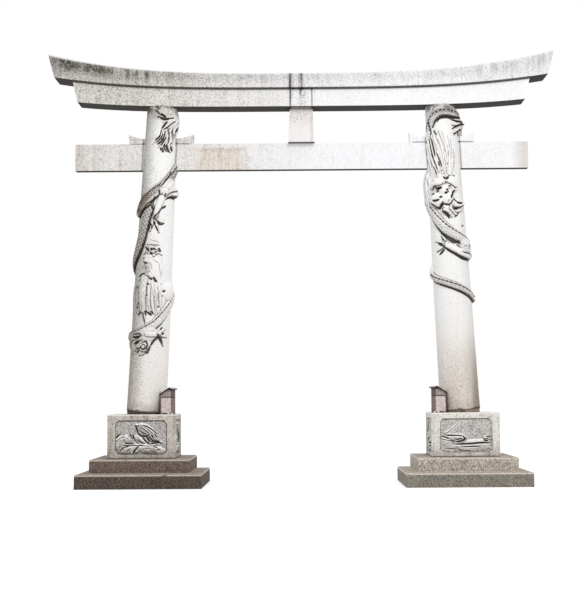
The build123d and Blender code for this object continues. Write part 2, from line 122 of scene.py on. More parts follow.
class Num:
    # a number socket that takes part in ordinary arithmetic; every sum adds its own Math node
    def __init__(self, owner, socket):
        self.owner = owner
        self.socket = socket

    def math(self, kind, first, second=None):
        # kind is the Math node's operation, on one number or two
        values = {0: first} if second is None else {0: first, 1: second}
        return Num(self.owner, self.owner.node("ShaderNodeMath", {"operation": kind}, values).outputs[0])

    def __add__(self, other):
        return self.math("ADD", self, other)

    def __radd__(self, other):
        return self.math("ADD", other, self)

    def __sub__(self, other):
        return self.math("SUBTRACT", self, other)

    def __rsub__(self, other):
        return self.math("SUBTRACT", other, self)

    def __mul__(self, other):
        return self.math("MULTIPLY", self, other)

    def __rmul__(self, other):
        return self.math("MULTIPLY", other, self)

    def __truediv__(self, other):
        return self.math("DIVIDE", self, other)

    def __pow__(self, other):
        return self.math("POWER", self, other)

    def size(self):
        # the number without its sign: (value * value) to the power one half
        return (self * self) ** 0.5

    def bell(self, centre, width):
        # e to the minus ((value - centre) / width) squared
        t = (self - centre) / width
        return self.math("EXPONENT", (t * t) * -1.0)

    def rise(self, low, high):
        # 0 below low, 1 above high, smooth between
        settings = {"interpolation_type": "SMOOTHSTEP", "clamp": True}
        values = {"Value": self, "From Min": low, "From Max": high, "To Min": 0.0, "To Max": 1.0}
        return Num(self.owner, self.owner.node("ShaderNodeMapRange", settings, values).outputs[0])

    def fall(self, low, high):
        # 1 below low, 0 above high: one minus the rise
        return 1.0 - self.rise(low, high)

    def atMost(self, other):
        return self.math("MINIMUM", self, other)

    def atLeast(self, other):
        return self.math("MAXIMUM", self, other)


class Nodes:
    # the nodes of a material or of the world
    def __init__(self, tree):
        self.tree = tree
        self.tree.nodes.clear()

    def node(self, kind, settings=None, values=None):
        # one node of any kind: its settings first, then the number, colour or link of each socket given
        made = self.tree.nodes.new(kind)
        for key, value in (settings or {}).items():
            setattr(made, key, value)
        for key, value in (values or {}).items():
            value = value.socket if isinstance(value, Num) else value
            if isinstance(value, bpy.types.NodeSocket):
                self.tree.links.new(value, made.inputs[key])
            else:
                made.inputs[key].default_value = value
        return made

    def seen(self):
        # 1 on rays that the camera sees straight, mirrored or through something clear: the largest of three
        rays = self.node("ShaderNodeLightPath")
        kinds = ("Is Camera Ray", "Is Glossy Ray", "Is Transmission Ray")
        straight, mirrored, through = (Num(self, rays.outputs[kind]) for kind in kinds)
        return straight.atLeast(mirrored).atLeast(through)


class Finish(Nodes):
    # a material; x, y, z are the place in metres, sideways and upward are parts of the way a surface faces
    def __init__(self, name):
        self.material = bpy.data.materials.new(name)
        self.material.use_nodes = True
        super().__init__(self.material.node_tree)
        self.shader = self.node("ShaderNodeBsdfPrincipled")
        self.output = self.node("ShaderNodeOutputMaterial", {}, {"Surface": self.shader.outputs[0]})
        self.place = self.node("ShaderNodeTexCoord").outputs["Object"]
        split = self.node("ShaderNodeSeparateXYZ", {}, {0: self.place})
        self.x, self.y, self.z = (Num(self, split.outputs[i]) for i in range(3))
        normal = self.node("ShaderNodeNewGeometry").outputs["Normal"]
        facing = self.node("ShaderNodeSeparateXYZ", {}, {0: normal})
        self.sideways, self.upward = Num(self, facing.outputs[0]), Num(self, facing.outputs[2])

    def noise(self, scale, detail=3.0, stretch=(1.0, 1.0, 1.0), rough=0.55, shift=(0.0, 0.0, 0.0)):
        # fractal noise of place * stretch + shift, 0 to 1
        where = self.place
        if stretch != (1.0, 1.0, 1.0) or shift != (0.0, 0.0, 0.0):
            values = {"Vector": where, "Scale": stretch, "Location": shift}
            where = self.node("ShaderNodeMapping", {}, values).outputs[0]
        values = {"Vector": where, "Scale": scale, "Detail": detail, "Roughness": rough}
        return Num(self, self.node("ShaderNodeTexNoise", {"noise_dimensions": "3D"}, values).outputs[0])

    def streaks(self, across, down, detail=4.0, rough=0.55, shift=(0.0, 0.0, 0.0)):
        # noise drawn out downwards: it changes across times in a metre sideways, down times in one upwards
        return self.noise(1.0, detail, (across, across, down), rough, shift)

    def grains(self, scale):
        # one random number from 0 to 1 for each cell of a Voronoi pattern
        values = {"Vector": self.place, "Scale": scale, "Randomness": 1.0}
        cell = self.node("ShaderNodeTexVoronoi", {"feature": "F1"}, values)
        split = self.node("ShaderNodeSeparateColor", {}, {0: cell.outputs["Color"]})
        return Num(self, split.outputs[0])

    def attribute(self, name):
        # a number that the mesh carries at its points, 0 where it carries none
        return Num(self, self.node("ShaderNodeAttribute", {"attribute_name": name}).outputs["Fac"])

    def blend(self, share, first, second):
        # first * (1 - share) + second * share
        settings = {"data_type": "RGBA", "blend_type": "MIX", "clamp_factor": True}
        return self.node("ShaderNodeMix", settings, {"Factor": share, 6: first, 7: second}).outputs[2]

    def finish(self, colour, roughness, bump=None, strength=0.4, depth=0.004):
        # colour and roughness go to the shader; bump, a height in units of depth, tilts the surface
        self.tree.links.new(colour, self.shader.inputs["Base Color"])
        self.shader.inputs["Roughness"].default_value = roughness
        self.shader.inputs["Specular IOR Level"].default_value = 0.3
        if bump is not None:
            values = {"Height": bump, "Strength": strength, "Distance": depth}
            tilted = self.node("ShaderNodeBump", {}, values).outputs[0]
            self.tree.links.new(tilted, self.shader.inputs["Normal"])
        return self.material


def tone(red, green, blue):
    # a colour written 0 to 255 as seen on screen, turned to the linear values that a shader takes:
    # value / 12.92 when dark, else ((value + 0.055) / 1.055) to the power 2.4
    def one(v):
        v = v / 255.0
        return v / 12.92 if v <= 0.04045 else ((v + 0.055) / 1.055) ** 2.4
    return (one(red), one(green), one(blue), 1.0)


def flecked(f, colour, look, amount=1.0):
    # dark crystals in two sizes and light ones: each is a noise cut off high, so that the stone between
    # them stays clear; the dark ones are amount * fleck strong and the light ones amount * glint
    coarse = f.noise(34.0, 4.0, rough=0.8).rise(0.50, 0.66)
    fine = f.noise(75.0, 2.0, rough=0.8).rise(0.46, 0.64)
    pits = f.grains(62.0).rise(0.86, 0.99)
    light = f.noise(60.0, 3.0, rough=0.8, shift=(3.7, 1.9, 5.3)).rise(0.50, 0.62)
    share = ((coarse * 0.7 + fine * 0.55 + pits * 0.5) * (amount * look["fleck"])).atMost(0.92)
    colour = f.blend(light * (amount * look["glint"]), colour, tone(255, 252, 247))
    return f.blend(share, colour, f.blend(0.70, colour, look["shadeAndDirt"]))


def besideAxis(out, z):
    # distance from a pillar's leaning axis, positive outside: out - foot's x + lean * height over the foot
    return out - gate["footX"] + gate["lean"] * (z - gate["footZ"])


beamLook = {
    "pale": tone(254, 252, 254), "warm": tone(228, 222, 206), "grey": tone(160, 156, 142),
    "shadeAndDirt": tone(32, 26, 18), "fleck": 0.95, "glint": 0.3,
    "grime": tone(84, 78, 68), "cornerStain": tone(150, 118, 84), "strut": tone(238, 227, 222),
    "rust": tone(172, 146, 116), "tan": tone(222, 204, 184), "tanEdge": tone(128, 118, 104),
    "endWash": tone(186, 168, 150),
    # where along the gate, in metres from its middle, each stain sets in or dies away
    "darkSide": (-3.2, 1.0), "darkEnd": (-3.0, -1.7), "brightEnd": (1.6, 3.5), "outerEnd": (3.45, 3.72),
    "tieDark": (-1.4, -0.8), "tieEnd": (3.05, 3.25), "tanStart": (-1.56, -1.14), "tanStop": (-0.80, -0.58),
    # heights in metres: the strut's upper part, the wedges' ends, the tan patch's upper edge and the drips
    "strutUpper": (5.12, 5.42), "wedgeEnd": (5.10, 5.20), "tanTop": (4.900, 4.935), "tanEdgeZ": 4.912,
    "dripLength": (5.50, 5.75),
}

# a lintel's face curves up: height in the middle + rise * (distance from the middle / reach) to a power
lintelCurve = {
    "jointRise": 0.175, "jointReach": 3.6, "jointPower": 3.3,
    "top": 5.960, "topRise": 0.309, "topPower": 3.0,
}


def beamGranite():
    # lintels, strut and tie beam: pale stone that grows greyer to the left, with grime down the upper
    # lintel's face, drips from its joints and painted shade on its undersides; a stain's share is its place
    # times a noise
    look, curve = beamLook, lintelCurve
    f = Finish("beamGranite")
    out = f.x.size()
    joint = gate["lintelJoint"] + curve["jointRise"] * (out / curve["jointReach"]) ** curve["jointPower"]
    top = curve["top"] + curve["topRise"] * (out / gate["upperEnd"]) ** curve["topPower"]
    upper = (f.z - joint).rise(-0.004, 0.004)
    height = (f.z - joint) / (top - joint)
    tieTop, strutTop, lintelFoot = gate["tieTop"], gate["strutTop"], gate["lintelFoot"]
    onLintel = f.z.rise(lintelFoot - 0.043, lintelFoot - 0.013)
    onTie = f.z.fall(tieTop + 0.010, tieTop + 0.040)
    onStrut = out.fall(0.19, 0.21) * f.z.rise(tieTop + 0.002, tieTop + 0.006)
    onStrut = onStrut * f.z.fall(strutTop - 0.010, strutTop - 0.005)
    strutUpper = f.z.rise(*look["strutUpper"])
    leftness = f.x.fall(*look["darkSide"])
    leftEnd = f.x.fall(*look["darkEnd"])
    rightEnd = f.x.rise(*look["brightEnd"])

    # the stone's own colour, streaked, and the grime of the upper lintel
    streaks = f.streaks(9.0, 0.75, 5.0, 0.62).rise(0.42, 0.72)
    fineStreaks = f.streaks(34.0, 2.2, 4.0, 0.6).rise(0.45, 0.75)
    cloud = f.noise(0.9, 4.0, (1.0, 1.0, 1.6), 0.6).rise(0.35, 0.68)
    patches = f.noise(5.0, 5.0, rough=0.7).rise(0.30, 0.70)
    colour = f.blend(leftness * 0.60 + cloud * 0.14 - onStrut * 0.20, look["pale"], look["warm"])
    broad = 0.03 + leftness * (0.24 + upper * 0.14) * (1.0 - onStrut * 0.6)
    narrow = 0.06 + leftness * 0.22 * (1.0 - onStrut * 0.4) + upper * (0.14 + rightEnd * 0.35)
    colour = f.blend(streaks * broad + fineStreaks * narrow, colour, look["grey"])
    band = height.rise(0.05, 0.75) * (1.0 - height.rise(0.80, 1.0) * 0.35)
    band = band * (1.0 - out.rise(*look["outerEnd"]) * 0.6)
    grime = upper * band * (0.20 + leftness * 0.36 + leftEnd * 0.60 + rightEnd * 0.12)
    grime = grime * (0.12 + patches * 0.75 + streaks * 0.65)
    colour = f.blend(grime + upper * (leftEnd * 0.20 + rightEnd * 0.05), colour, look["grime"])
    corner = f.x.bell(0.150, 0.022) * onStrut * f.streaks(30.0, 6.0).rise(0.30, 0.6)
    colour = f.blend(corner * 0.55, colour, look["cornerStain"])

    # the strut and the tie beam, with its tan patch whose edge is ragged
    ragged = f.z + f.noise(13.0, 4.0, rough=0.7) * 0.07
    inPatch = (f.x + patches * 0.22).rise(*look["tanStart"]) * (f.x + patches * 0.20).fall(*look["tanStop"])
    speckled = f.noise(40.0, 3.0, rough=0.8).rise(0.40, 0.60)
    patchEdge = inPatch * ragged.bell(look["tanEdgeZ"], 0.022) * speckled
    inPatch = inPatch * ragged.fall(*look["tanTop"])
    tan = (inPatch * 0.92 + f.x.fall(*look["tieDark"]) * 0.24) * (0.45 + fineStreaks * 0.7)
    rust = f.streaks(13.0, 0.8, 4.0, 0.6, (4.0, 2.0, 0.0)).rise(0.56, 0.74)
    endWash = out.rise(*look["tieEnd"]) * 0.4 + leftEnd * streaks * 0.25
    colour = f.blend(onStrut * (0.5 + strutUpper * 0.2), colour, look["strut"])
    colour = f.blend(onTie * leftness * 0.66, colour, look["pale"])
    colour = f.blend(onTie * tan, colour, look["tan"])
    colour = f.blend(onTie * rust * leftness * 0.7, colour, look["rust"])
    colour = f.blend(onTie * patchEdge * 0.55, colour, look["tanEdge"])
    colour = f.blend(onTie * endWash, colour, look["endWash"])
    amount = 0.26 + leftness * (0.95 - onTie * 0.50) + upper * 0.34 - onStrut * (0.26 - strutUpper * 0.75)
    colour = flecked(f, colour, look, amount)
    # a painted highlight along the upper lintel's top edge, strongest on the left
    rim = upper * height.bell(0.975, 0.035) * (0.25 + leftness * 0.65)
    colour = f.blend(rim, colour, look["pale"])

    # joints, drips, moss and the tie beam's entries into the pillars, and painted shade: a shadow under the
    # upper lintel's overhang, along the seams, at the strut's head and on the undersides
    half = gate["blockHalf"]
    leftJoint = f.x.bell(-half, 0.012) * (1.0 - upper * 0.2)
    rightJoint = f.x.bell(half, 0.009) * (1.0 - upper) * 0.8
    joints = (leftJoint + rightJoint) * onLintel
    # a painted shadow under the upper lintel's overhang
    underOverhang = (f.z - joint).bell(-0.013, 0.015) * out.fall(3.33, 3.34) * 0.95
    drip = (f.x.bell(-0.150, 0.040) * 0.6 + f.x.bell(0.0, 0.028)) * f.streaks(30.0, 3.0).rise(0.34, 0.62)
    drip = drip * f.z.rise(*look["dripLength"])
    crumbs = f.noise(26.0, 4.0, rough=0.8).rise(0.45, 0.65)
    drip = drip + f.x.bell(0.02, 0.07) * (1.0 - upper) * onLintel * crumbs * 0.7
    besideWedges = (f.x.bell(-gate["wedgeX"], 0.42) + f.x.bell(gate["wedgeX"], 0.42)).rise(0.25, 0.4)
    seam = f.z.bell(tieTop + 0.002, 0.009) * (besideWedges + out.bell(0.0, 0.18).rise(0.28, 0.34)) * 0.75
    outward = besideAxis(out, f.z)
    entry = (outward.bell(0.243, 0.014) + outward.bell(-0.243, 0.014)) * f.z.fall(*look["wedgeEnd"]) * 0.6
    strutHead = onStrut * f.z.bell(strutTop - 0.005, 0.045) * 0.7
    moss = f.noise(7.0, 5.0).rise(0.56, 0.72) * f.upward.rise(0.5, 0.9)
    # painted shade on faces that look down
    under = f.upward.fall(-0.75, -0.25)
    dark = under + joints * 0.95 + underOverhang + drip * 0.85 + seam + entry + strutHead + moss * 0.5
    colour = f.blend(dark.atMost(0.995), colour, look["shadeAndDirt"])
    return f.finish(colour, 0.82, f.noise(180.0, 3.0) * 0.6 + f.noise(35.0, 3.0), 0.35, 0.003)


pillarLook = {
    "pale": tone(255, 254, 252), "warm": tone(238, 228, 219), "grey": tone(184, 179, 174),
    "shadeAndDirt": tone(44, 39, 34), "fleck": 0.8, "glint": 0.2,
    "highShade": tone(142, 138, 116), "lowShade": tone(132, 118, 100), "rightFoot": tone(228, 218, 208),
    "footStain": tone(128, 108, 88), "rosy": tone(214, 195, 182), "headStain": tone(148, 128, 100),
    "wearAndHighlight": tone(255, 254, 251), "tawny": tone(128, 104, 76), "thinShade": tone(212, 186, 174),
    # heights in metres between which each wash sets in or dies away
    "low": (1.1, 3.4), "lowest": (1.25, 2.3), "rightFootZ": (1.4, 2.4), "boxShadowZ": (1.30, 1.37),
    "headZ": (5.12, 5.46), "lintelShadeZ": (5.30, 5.49), "tawnyZ": 4.10,
    "bedMiddle": 1.053, "bedSlope": 0.088,            # the mortar bed's height on the axis, and its fall
}


def pillarGranite():
    # outward is the distance from a pillar's leaning axis, positive on the side away from the middle of
    # the gate, and aboveBed = height - middle of the bed - outward * slope; the outer sides are the
    # darker ones, and the carving's painted shade with some dirt, and its painted highlights, come with its
    # mesh
    look = pillarLook
    f = Finish("pillarGranite")
    shadeAndDirt, rub = f.attribute("shadeAndDirt"), f.attribute("rub")
    rightOne = f.x.rise(-0.1, 0.1)
    leftOne = 1.0 - rightOne
    outward = besideAxis(f.x.size(), f.z)
    aboveBed = f.z - look["bedMiddle"] - outward * look["bedSlope"]
    low = f.z.fall(*look["low"])
    lowest = f.z.fall(*look["lowest"])
    outer = outward.rise(-0.12, 0.16)
    cloud = f.noise(1.7, 4.0, (1.0, 1.0, 0.6), 0.6).rise(0.36, 0.66)
    streaks = f.streaks(11.0, 0.8, 5.0, 0.62).rise(0.46, 0.74)
    mottle = f.streaks(6.0, 0.9, 5.0, 0.65).rise(0.25, 0.55)
    colour = f.blend(low * 0.34 + cloud * outer * 0.12, look["pale"], look["warm"])
    colour = f.blend(streaks * (0.05 + outer * 0.12), colour, look["grey"])
    rightFoot = rightOne * f.z.fall(*look["rightFootZ"]) * (0.40 + mottle * 0.4)
    colour = f.blend(rightFoot, colour, look["rightFoot"])
    shade = outward.rise(0.02, 0.30) * (0.78 - rightOne * (0.62 - lowest * 0.92)) * (0.75 + mottle * 0.3)
    colour = f.blend(shade, colour, f.blend(low, look["highShade"], look["lowShade"]))
    foot = aboveBed.fall(0.01, 0.19) * f.noise(9.0, 4.0).rise(0.25, 0.6)
    colour = f.blend(foot * 0.5, colour, look["footStain"])
    rosy = f.noise(52.0, 4.0, rough=0.8).rise(0.42, 0.62) * (0.08 + low * 0.14 + lowest * 0.18)
    colour = f.blend(rosy, colour, look["rosy"])
    grainy = leftOne * outward.rise(-0.04, 0.16)
    colour = flecked(f, colour, look, 0.32 + rightOne * (lowest * 0.45 - 0.06) + grainy * 0.80)

    # what lies on the shaft: a brown head, painted shade at its top under the lintel, a painted shadow
    # beside the box and the dark line of the bed
    colour = f.blend(leftOne * f.z.rise(*look["headZ"]) * mottle * 0.45, colour, look["headStain"])
    lintelShade = f.z.rise(*look["lintelShadeZ"]) * f.noise(11.0, 5.0, rough=0.7).rise(0.36, 0.58) * 0.9
    besideBox = outward.bell(-0.205, 0.018) * f.z.fall(*look["boxShadowZ"]) * f.y.fall(-0.17, -0.11) * 0.75
    bedLine = (aboveBed - f.noise(6.0, 2.0) * 0.07).fall(-0.024, -0.008)
    colour = f.blend((lintelShade + besideBox + bedLine * 0.8).atMost(0.95), colour, look["shadeAndDirt"])

    # the carving's painted highlights, tawny coil and painted shade with dirt, thin at first and black in
    # the hollows
    colour = f.blend(rub.rise(0.02, 0.3) * 0.5, colour, look["wearAndHighlight"])
    tawny = leftOne * f.z.bell(look["tawnyZ"], 0.17) * outward.rise(-0.02, 0.14)
    colour = f.blend(tawny * shadeAndDirt.rise(0.05, 0.25) * 0.65, colour, look["tawny"])
    colour = f.blend(shadeAndDirt.rise(0.02, 0.30) * 0.24, colour, look["thinShade"])
    broken = 0.62 + f.noise(48.0, 3.0, rough=0.8).rise(0.38, 0.62) * 0.55
    black = (shadeAndDirt.rise(0.06, 0.66) * broken).atLeast(shadeAndDirt.rise(0.45, 0.80)).atMost(0.97)
    colour = f.blend(black, colour, look["shadeAndDirt"])
    return f.finish(colour, 0.80, f.noise(190.0, 3.0) * 0.5 + f.noise(40.0, 3.0), 0.3, 0.003)


plinthLook = {
    "pale": tone(214, 206, 197), "warm": tone(190, 176, 160), "grey": tone(128, 120, 110),
    "shadeAndDirt": tone(34, 28, 24), "fleck": 1.55, "glint": 0.95,
    "bright": tone(247, 241, 233), "panel": tone(190, 188, 190), "stain": tone(142, 110, 82),
    "wearAndHighlight": tone(255, 251, 246),
}


def plinthGranite():
    # the share of the bright tone is larger on the right plinth and on the frames round the panels;
    # stains run down the frames, and grime gathers at the foot; a painted highlight lies along the top edge
    # and on the carving's upward slopes, and the carving holds painted shade
    look = plinthLook
    f = Finish("plinthGranite")
    shadeAndDirt, rub, panel = f.attribute("shadeAndDirt"), f.attribute("rub"), f.attribute("panel")
    cloud = f.noise(3.2, 4.0).rise(0.36, 0.66)
    leftOne = f.x.fall(-1.0, 1.0)
    framing = 1.0 - panel
    top, foot = gate["footZ"], gate["plinthFoot"]
    footDark = f.z.fall(foot, foot + 0.22) * f.noise(6.0, 4.0).rise(0.30, 0.66)
    litTopEdge = f.z.rise(top - 0.020, top - 0.008)
    colour = f.blend(cloud * 0.55, look["pale"], look["warm"])
    colour = f.blend((1.0 - leftOne) * (0.66 + framing * 0.28) + framing * 0.22, colour, look["bright"])
    colour = f.blend(panel * 0.45, colour, look["panel"])
    stains = f.streaks(13.0, 1.3, 5.0, 0.65).rise(0.46, 0.68)
    colour = f.blend(framing * stains * (0.18 + leftOne * 0.55), colour, look["stain"])
    colour = f.blend(f.noise(14.0, 5.0).rise(0.5, 0.7) * 0.4 + footDark * 0.45, colour, look["grey"])
    colour = flecked(f, colour, look, 0.42 + leftOne * 0.13 + panel * 0.50)
    # painted highlight on the top edge and on the carving's upward slopes
    colour = f.blend(litTopEdge * 0.6 + rub.rise(0.04, 0.5) * 0.95, colour, look["wearAndHighlight"])
    seam = f.z.fall(foot + 0.002, foot + 0.024)
    # the carving's painted shade and the dark seam at the foot
    colour = f.blend((shadeAndDirt.rise(0.06, 0.62) + seam * 0.85).atMost(0.96), colour, look["shadeAndDirt"])
    return f.finish(colour, 0.85, f.noise(150.0, 3.0) * 0.7 + f.noise(30.0, 3.0), 0.45, 0.004)


stepLook = {
    "pale": tone(146, 124, 108), "warm": tone(116, 92, 76), "grey": tone(78, 66, 57),
    "shadeAndDirt": tone(30, 25, 21), "fleck": 1.85, "glint": 0.45,
    "rightSide": tone(226, 216, 198), "tread": tone(208, 190, 176), "leftFace": tone(70, 60, 50),
    "edgeHighlight": tone(240, 226, 214),
}


def stepGranite():
    # upright faces are dark on the left and pale on the right, treads are pale, and a painted highlight
    # runs along each upper edge: e to the minus ((height - edge) / width) squared
    look = stepLook
    f = Finish("stepGranite")
    cloud = f.noise(3.0, 4.0).rise(0.36, 0.66)
    face = f.upward.fall(0.3, 0.8)
    colour = f.blend(cloud * 0.5, look["pale"], look["warm"])
    colour = f.blend(f.x.rise(-1.0, 1.0) * (1.0 - cloud * 0.2), colour, look["rightSide"])
    colour = f.blend(f.noise(30.0, 5.0).rise(0.45, 0.7) * 0.42, colour, look["grey"])
    colour = f.blend((1.0 - face) * 0.62, colour, look["tread"])
    colour = flecked(f, colour, look)
    colour = f.blend(face * f.x.fall(-1.0, 1.0) * 0.30, colour, look["leftFace"])
    upperEdge, lowerEdge = gate["plinthFoot"] - 0.006, gate["lowerStepTop"] - 0.006
    edgeHighlight = (f.z.bell(upperEdge, 0.013) + f.z.bell(lowerEdge, 0.013)) * f.noise(7.0, 3.0).rise(0.20, 0.45)
    colour = f.blend(edgeHighlight * face, colour, look["edgeHighlight"])
    lower = f.z.fall(gate["lowerStepTop"] - 0.035, gate["lowerStepTop"] - 0.015) * 0.5
    colour = f.blend(lower, colour, look["shadeAndDirt"])
    return f.finish(colour, 0.88, f.noise(110.0, 4.0) + f.noise(22.0, 3.0), 0.7, 0.006)


mortarLook = {"dark": tone(46, 38, 33), "pale": tone(104, 90, 78), "pink": tone(168, 146, 132)}


def mortarFinish():
    # dark and crumbly, paler and pinkish under the right pillar: the pink's share is right side * noise
    look = mortarLook
    f = Finish("beddingMortar")
    colour = f.blend(f.noise(40.0, 4.0).rise(0.35, 0.65), look["dark"], look["pale"])
    pink = f.x.rise(-0.1, 0.1) * f.noise(17.0, 4.0).rise(0.30, 0.50) * 0.75
    colour = f.blend(pink, colour, look["pink"])
    return f.finish(colour, 0.95, f.noise(60.0, 4.0), 0.8, 0.006)


boxLook = {
    "board": tone(226, 208, 203), "grain": tone(186, 166, 161), "knots": tone(132, 114, 110),
    "sideShade": tone(106, 88, 86), "dark": tone(46, 36, 34),
    "railZ": 1.262, "gableZ": (1.262, 1.270), "peakZ": (1.33, 1.38), "footDarkZ": (1.030, 1.052),
}


def boxFinish():
    # pale boards in front, painted shade on the boards at the sides, a dark rail under the gable and
    # painted shade on the feet; the sides' share is the square of how far a face looks sideways
    look = boxLook
    f = Finish("boxBoards")
    grain = f.streaks(60.0, 5.0).rise(0.35, 0.7)
    sideShade = (f.sideways * f.sideways).rise(0.3, 0.7)
    colour = f.blend(grain * 0.5, look["board"], look["grain"])
    colour = f.blend(f.noise(30.0, 3.0, rough=0.8).rise(0.48, 0.66) * 0.6, colour, look["knots"])
    colour = f.blend(sideShade * 0.88, colour, look["sideShade"])
    gable, peak, footDark = f.z.rise(*look["gableZ"]), f.z.rise(*look["peakZ"]), f.z.fall(*look["footDarkZ"])
    dark = f.z.bell(look["railZ"], 0.009) * 0.9 + gable * 0.45 + peak * 0.5 + footDark * 0.7
    colour = f.blend(dark.atMost(0.95), colour, look["dark"])
    return f.finish(colour, 0.75, grain, 0.2, 0.002)


sheetLook = {"wornAndLit": tone(226, 218, 214), "wearAndHighlight": tone(150, 140, 136), "dark": tone(44, 35, 32)}


def sheetFinish():
    # a painted highlight of pale worn metal where a face looks up, and painted shade along the edges and
    # below: the pale tone's share grows as a face looks up
    look = sheetLook
    f = Finish("boxRoofSheet")
    wornAndLit = f.blend(f.noise(25.0, 3.0).rise(0.4, 0.7), look["wornAndLit"], look["wearAndHighlight"])
    colour = f.blend(f.upward.rise(0.15, 0.5), look["dark"], wornAndLit)
    return f.finish(colour, 0.6)


finishes = {
    "beam_granite": beamGranite(),
    "pillar_granite": pillarGranite(),
    "plinth_granite": plinthGranite(),
    "step_granite": stepGranite(),
    "mortar": mortarFinish(),
    "box_wood": boxFinish(),
    "box_roof_sheet": sheetFinish(),
}
finishes["carved_granite"] = finishes["pillar_granite"]   # the dragons are cut from the pillars' stone
slotOf = {part["node"]: part["material_slot"] for part in frame["record"]["subparts"]}
for nodeName, nodeObject in frame["nodes"].items():
    nodeObject.data.materials.clear()
    nodeObject.data.materials.append(finishes[slotOf[nodeName]])
print("finishes made:", len(finishes))


def quadGrid(rows, columns, closed):
    # corner numbers of every cell of a rows by columns grid, counter-clockwise seen from outside: a
    # point's number is row * columns + column, and a closed grid joins its last column to its first
    r = np.arange(rows - 1)[:, None]
    c = np.arange(columns if closed else columns - 1)[None, :]
    nextC = (c + 1) % columns
    corners = [r * columns + c, r * columns + nextC, (r + 1) * columns + nextC, (r + 1) * columns + c]
    return np.stack(corners, axis=-1).reshape(-1, 4)


def putMesh(name, points, faces, slotName, standsFor=(), marks=None, normals=None):
    # one mesh from points and arrays of corner numbers; marks are numbers at the points that the
    # finishes read, such as the painted shade and dirt of a carving and its painted highlights
    mesh = bpy.data.meshes.new(name)
    corners = np.concatenate([np.asarray(f, dtype=np.int32).reshape(-1) for f in faces])
    counts = np.concatenate([np.full(len(f), f.shape[1], dtype=np.int32) for f in faces])
    mesh.vertices.add(len(points))
    mesh.vertices.foreach_set("co", np.ascontiguousarray(points, dtype=np.float32).reshape(-1))
    mesh.loops.add(len(corners))
    mesh.loops.foreach_set("vertex_index", corners)
    mesh.polygons.add(len(counts))
    mesh.polygons.foreach_set("loop_start", np.concatenate([[0], np.cumsum(counts)[:-1]]).astype(np.int32))
    mesh.polygons.foreach_set("loop_total", counts)
    mesh.polygons.foreach_set("use_smooth", np.full(len(counts), True))
    mesh.update(calc_edges=True)
    mesh.validate()
    for mark, values in (marks or {}).items():
        layer = mesh.attributes.new(mark, "FLOAT", "POINT")
        layer.data.foreach_set("value", np.ascontiguousarray(values, dtype=np.float32))
    if normals is not None:
        mesh.normals_split_custom_set_from_vertices(normals.tolist())
    mesh.materials.append(finishes[slotName])
    made = bpy.data.objects.new(name, mesh)
    bpy.context.scene.collection.objects.link(made)
    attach(made, "root")
    if standsFor:
        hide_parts(*standsFor)


def softened(path, times=3):
    # corner cutting: each corner gives way to two points a quarter along its sides
    p = np.asarray(path, dtype=float)
    if len(p) == 2:
        return p
    for _ in range(times):
        early, late = 0.75 * p[:-1] + 0.25 * p[1:], 0.25 * p[:-1] + 0.75 * p[1:]
        p = np.concatenate([p[:1], np.stack([early, late], axis=1).reshape(-1, 2), p[-1:]])
    return p


def melt(low, high, soft):
    # the larger of two heights with their meeting line rounded over a band of height soft
    h = np.clip(0.5 + 0.5 * (high - low) / soft, 0, 1)
    return low + (high - low) * h + soft * h * (1 - h) * 0.5


strokes = {
    "coilMargin": 0.06, "lockMargin": 0.04,      # metres beside a path in which the stone is worked
    "scaleSeam": 0.22, "scaleHeight": 0.009,     # dark share of a scale's width, and metres its tip rises
    "finWidth": 0.013, "spikePitch": 0.056, "spikeHeight": 0.018,
    "coilGroove": 0.014, "lockGroove": 0.010, "lockGrooveWidth": 0.008,
}


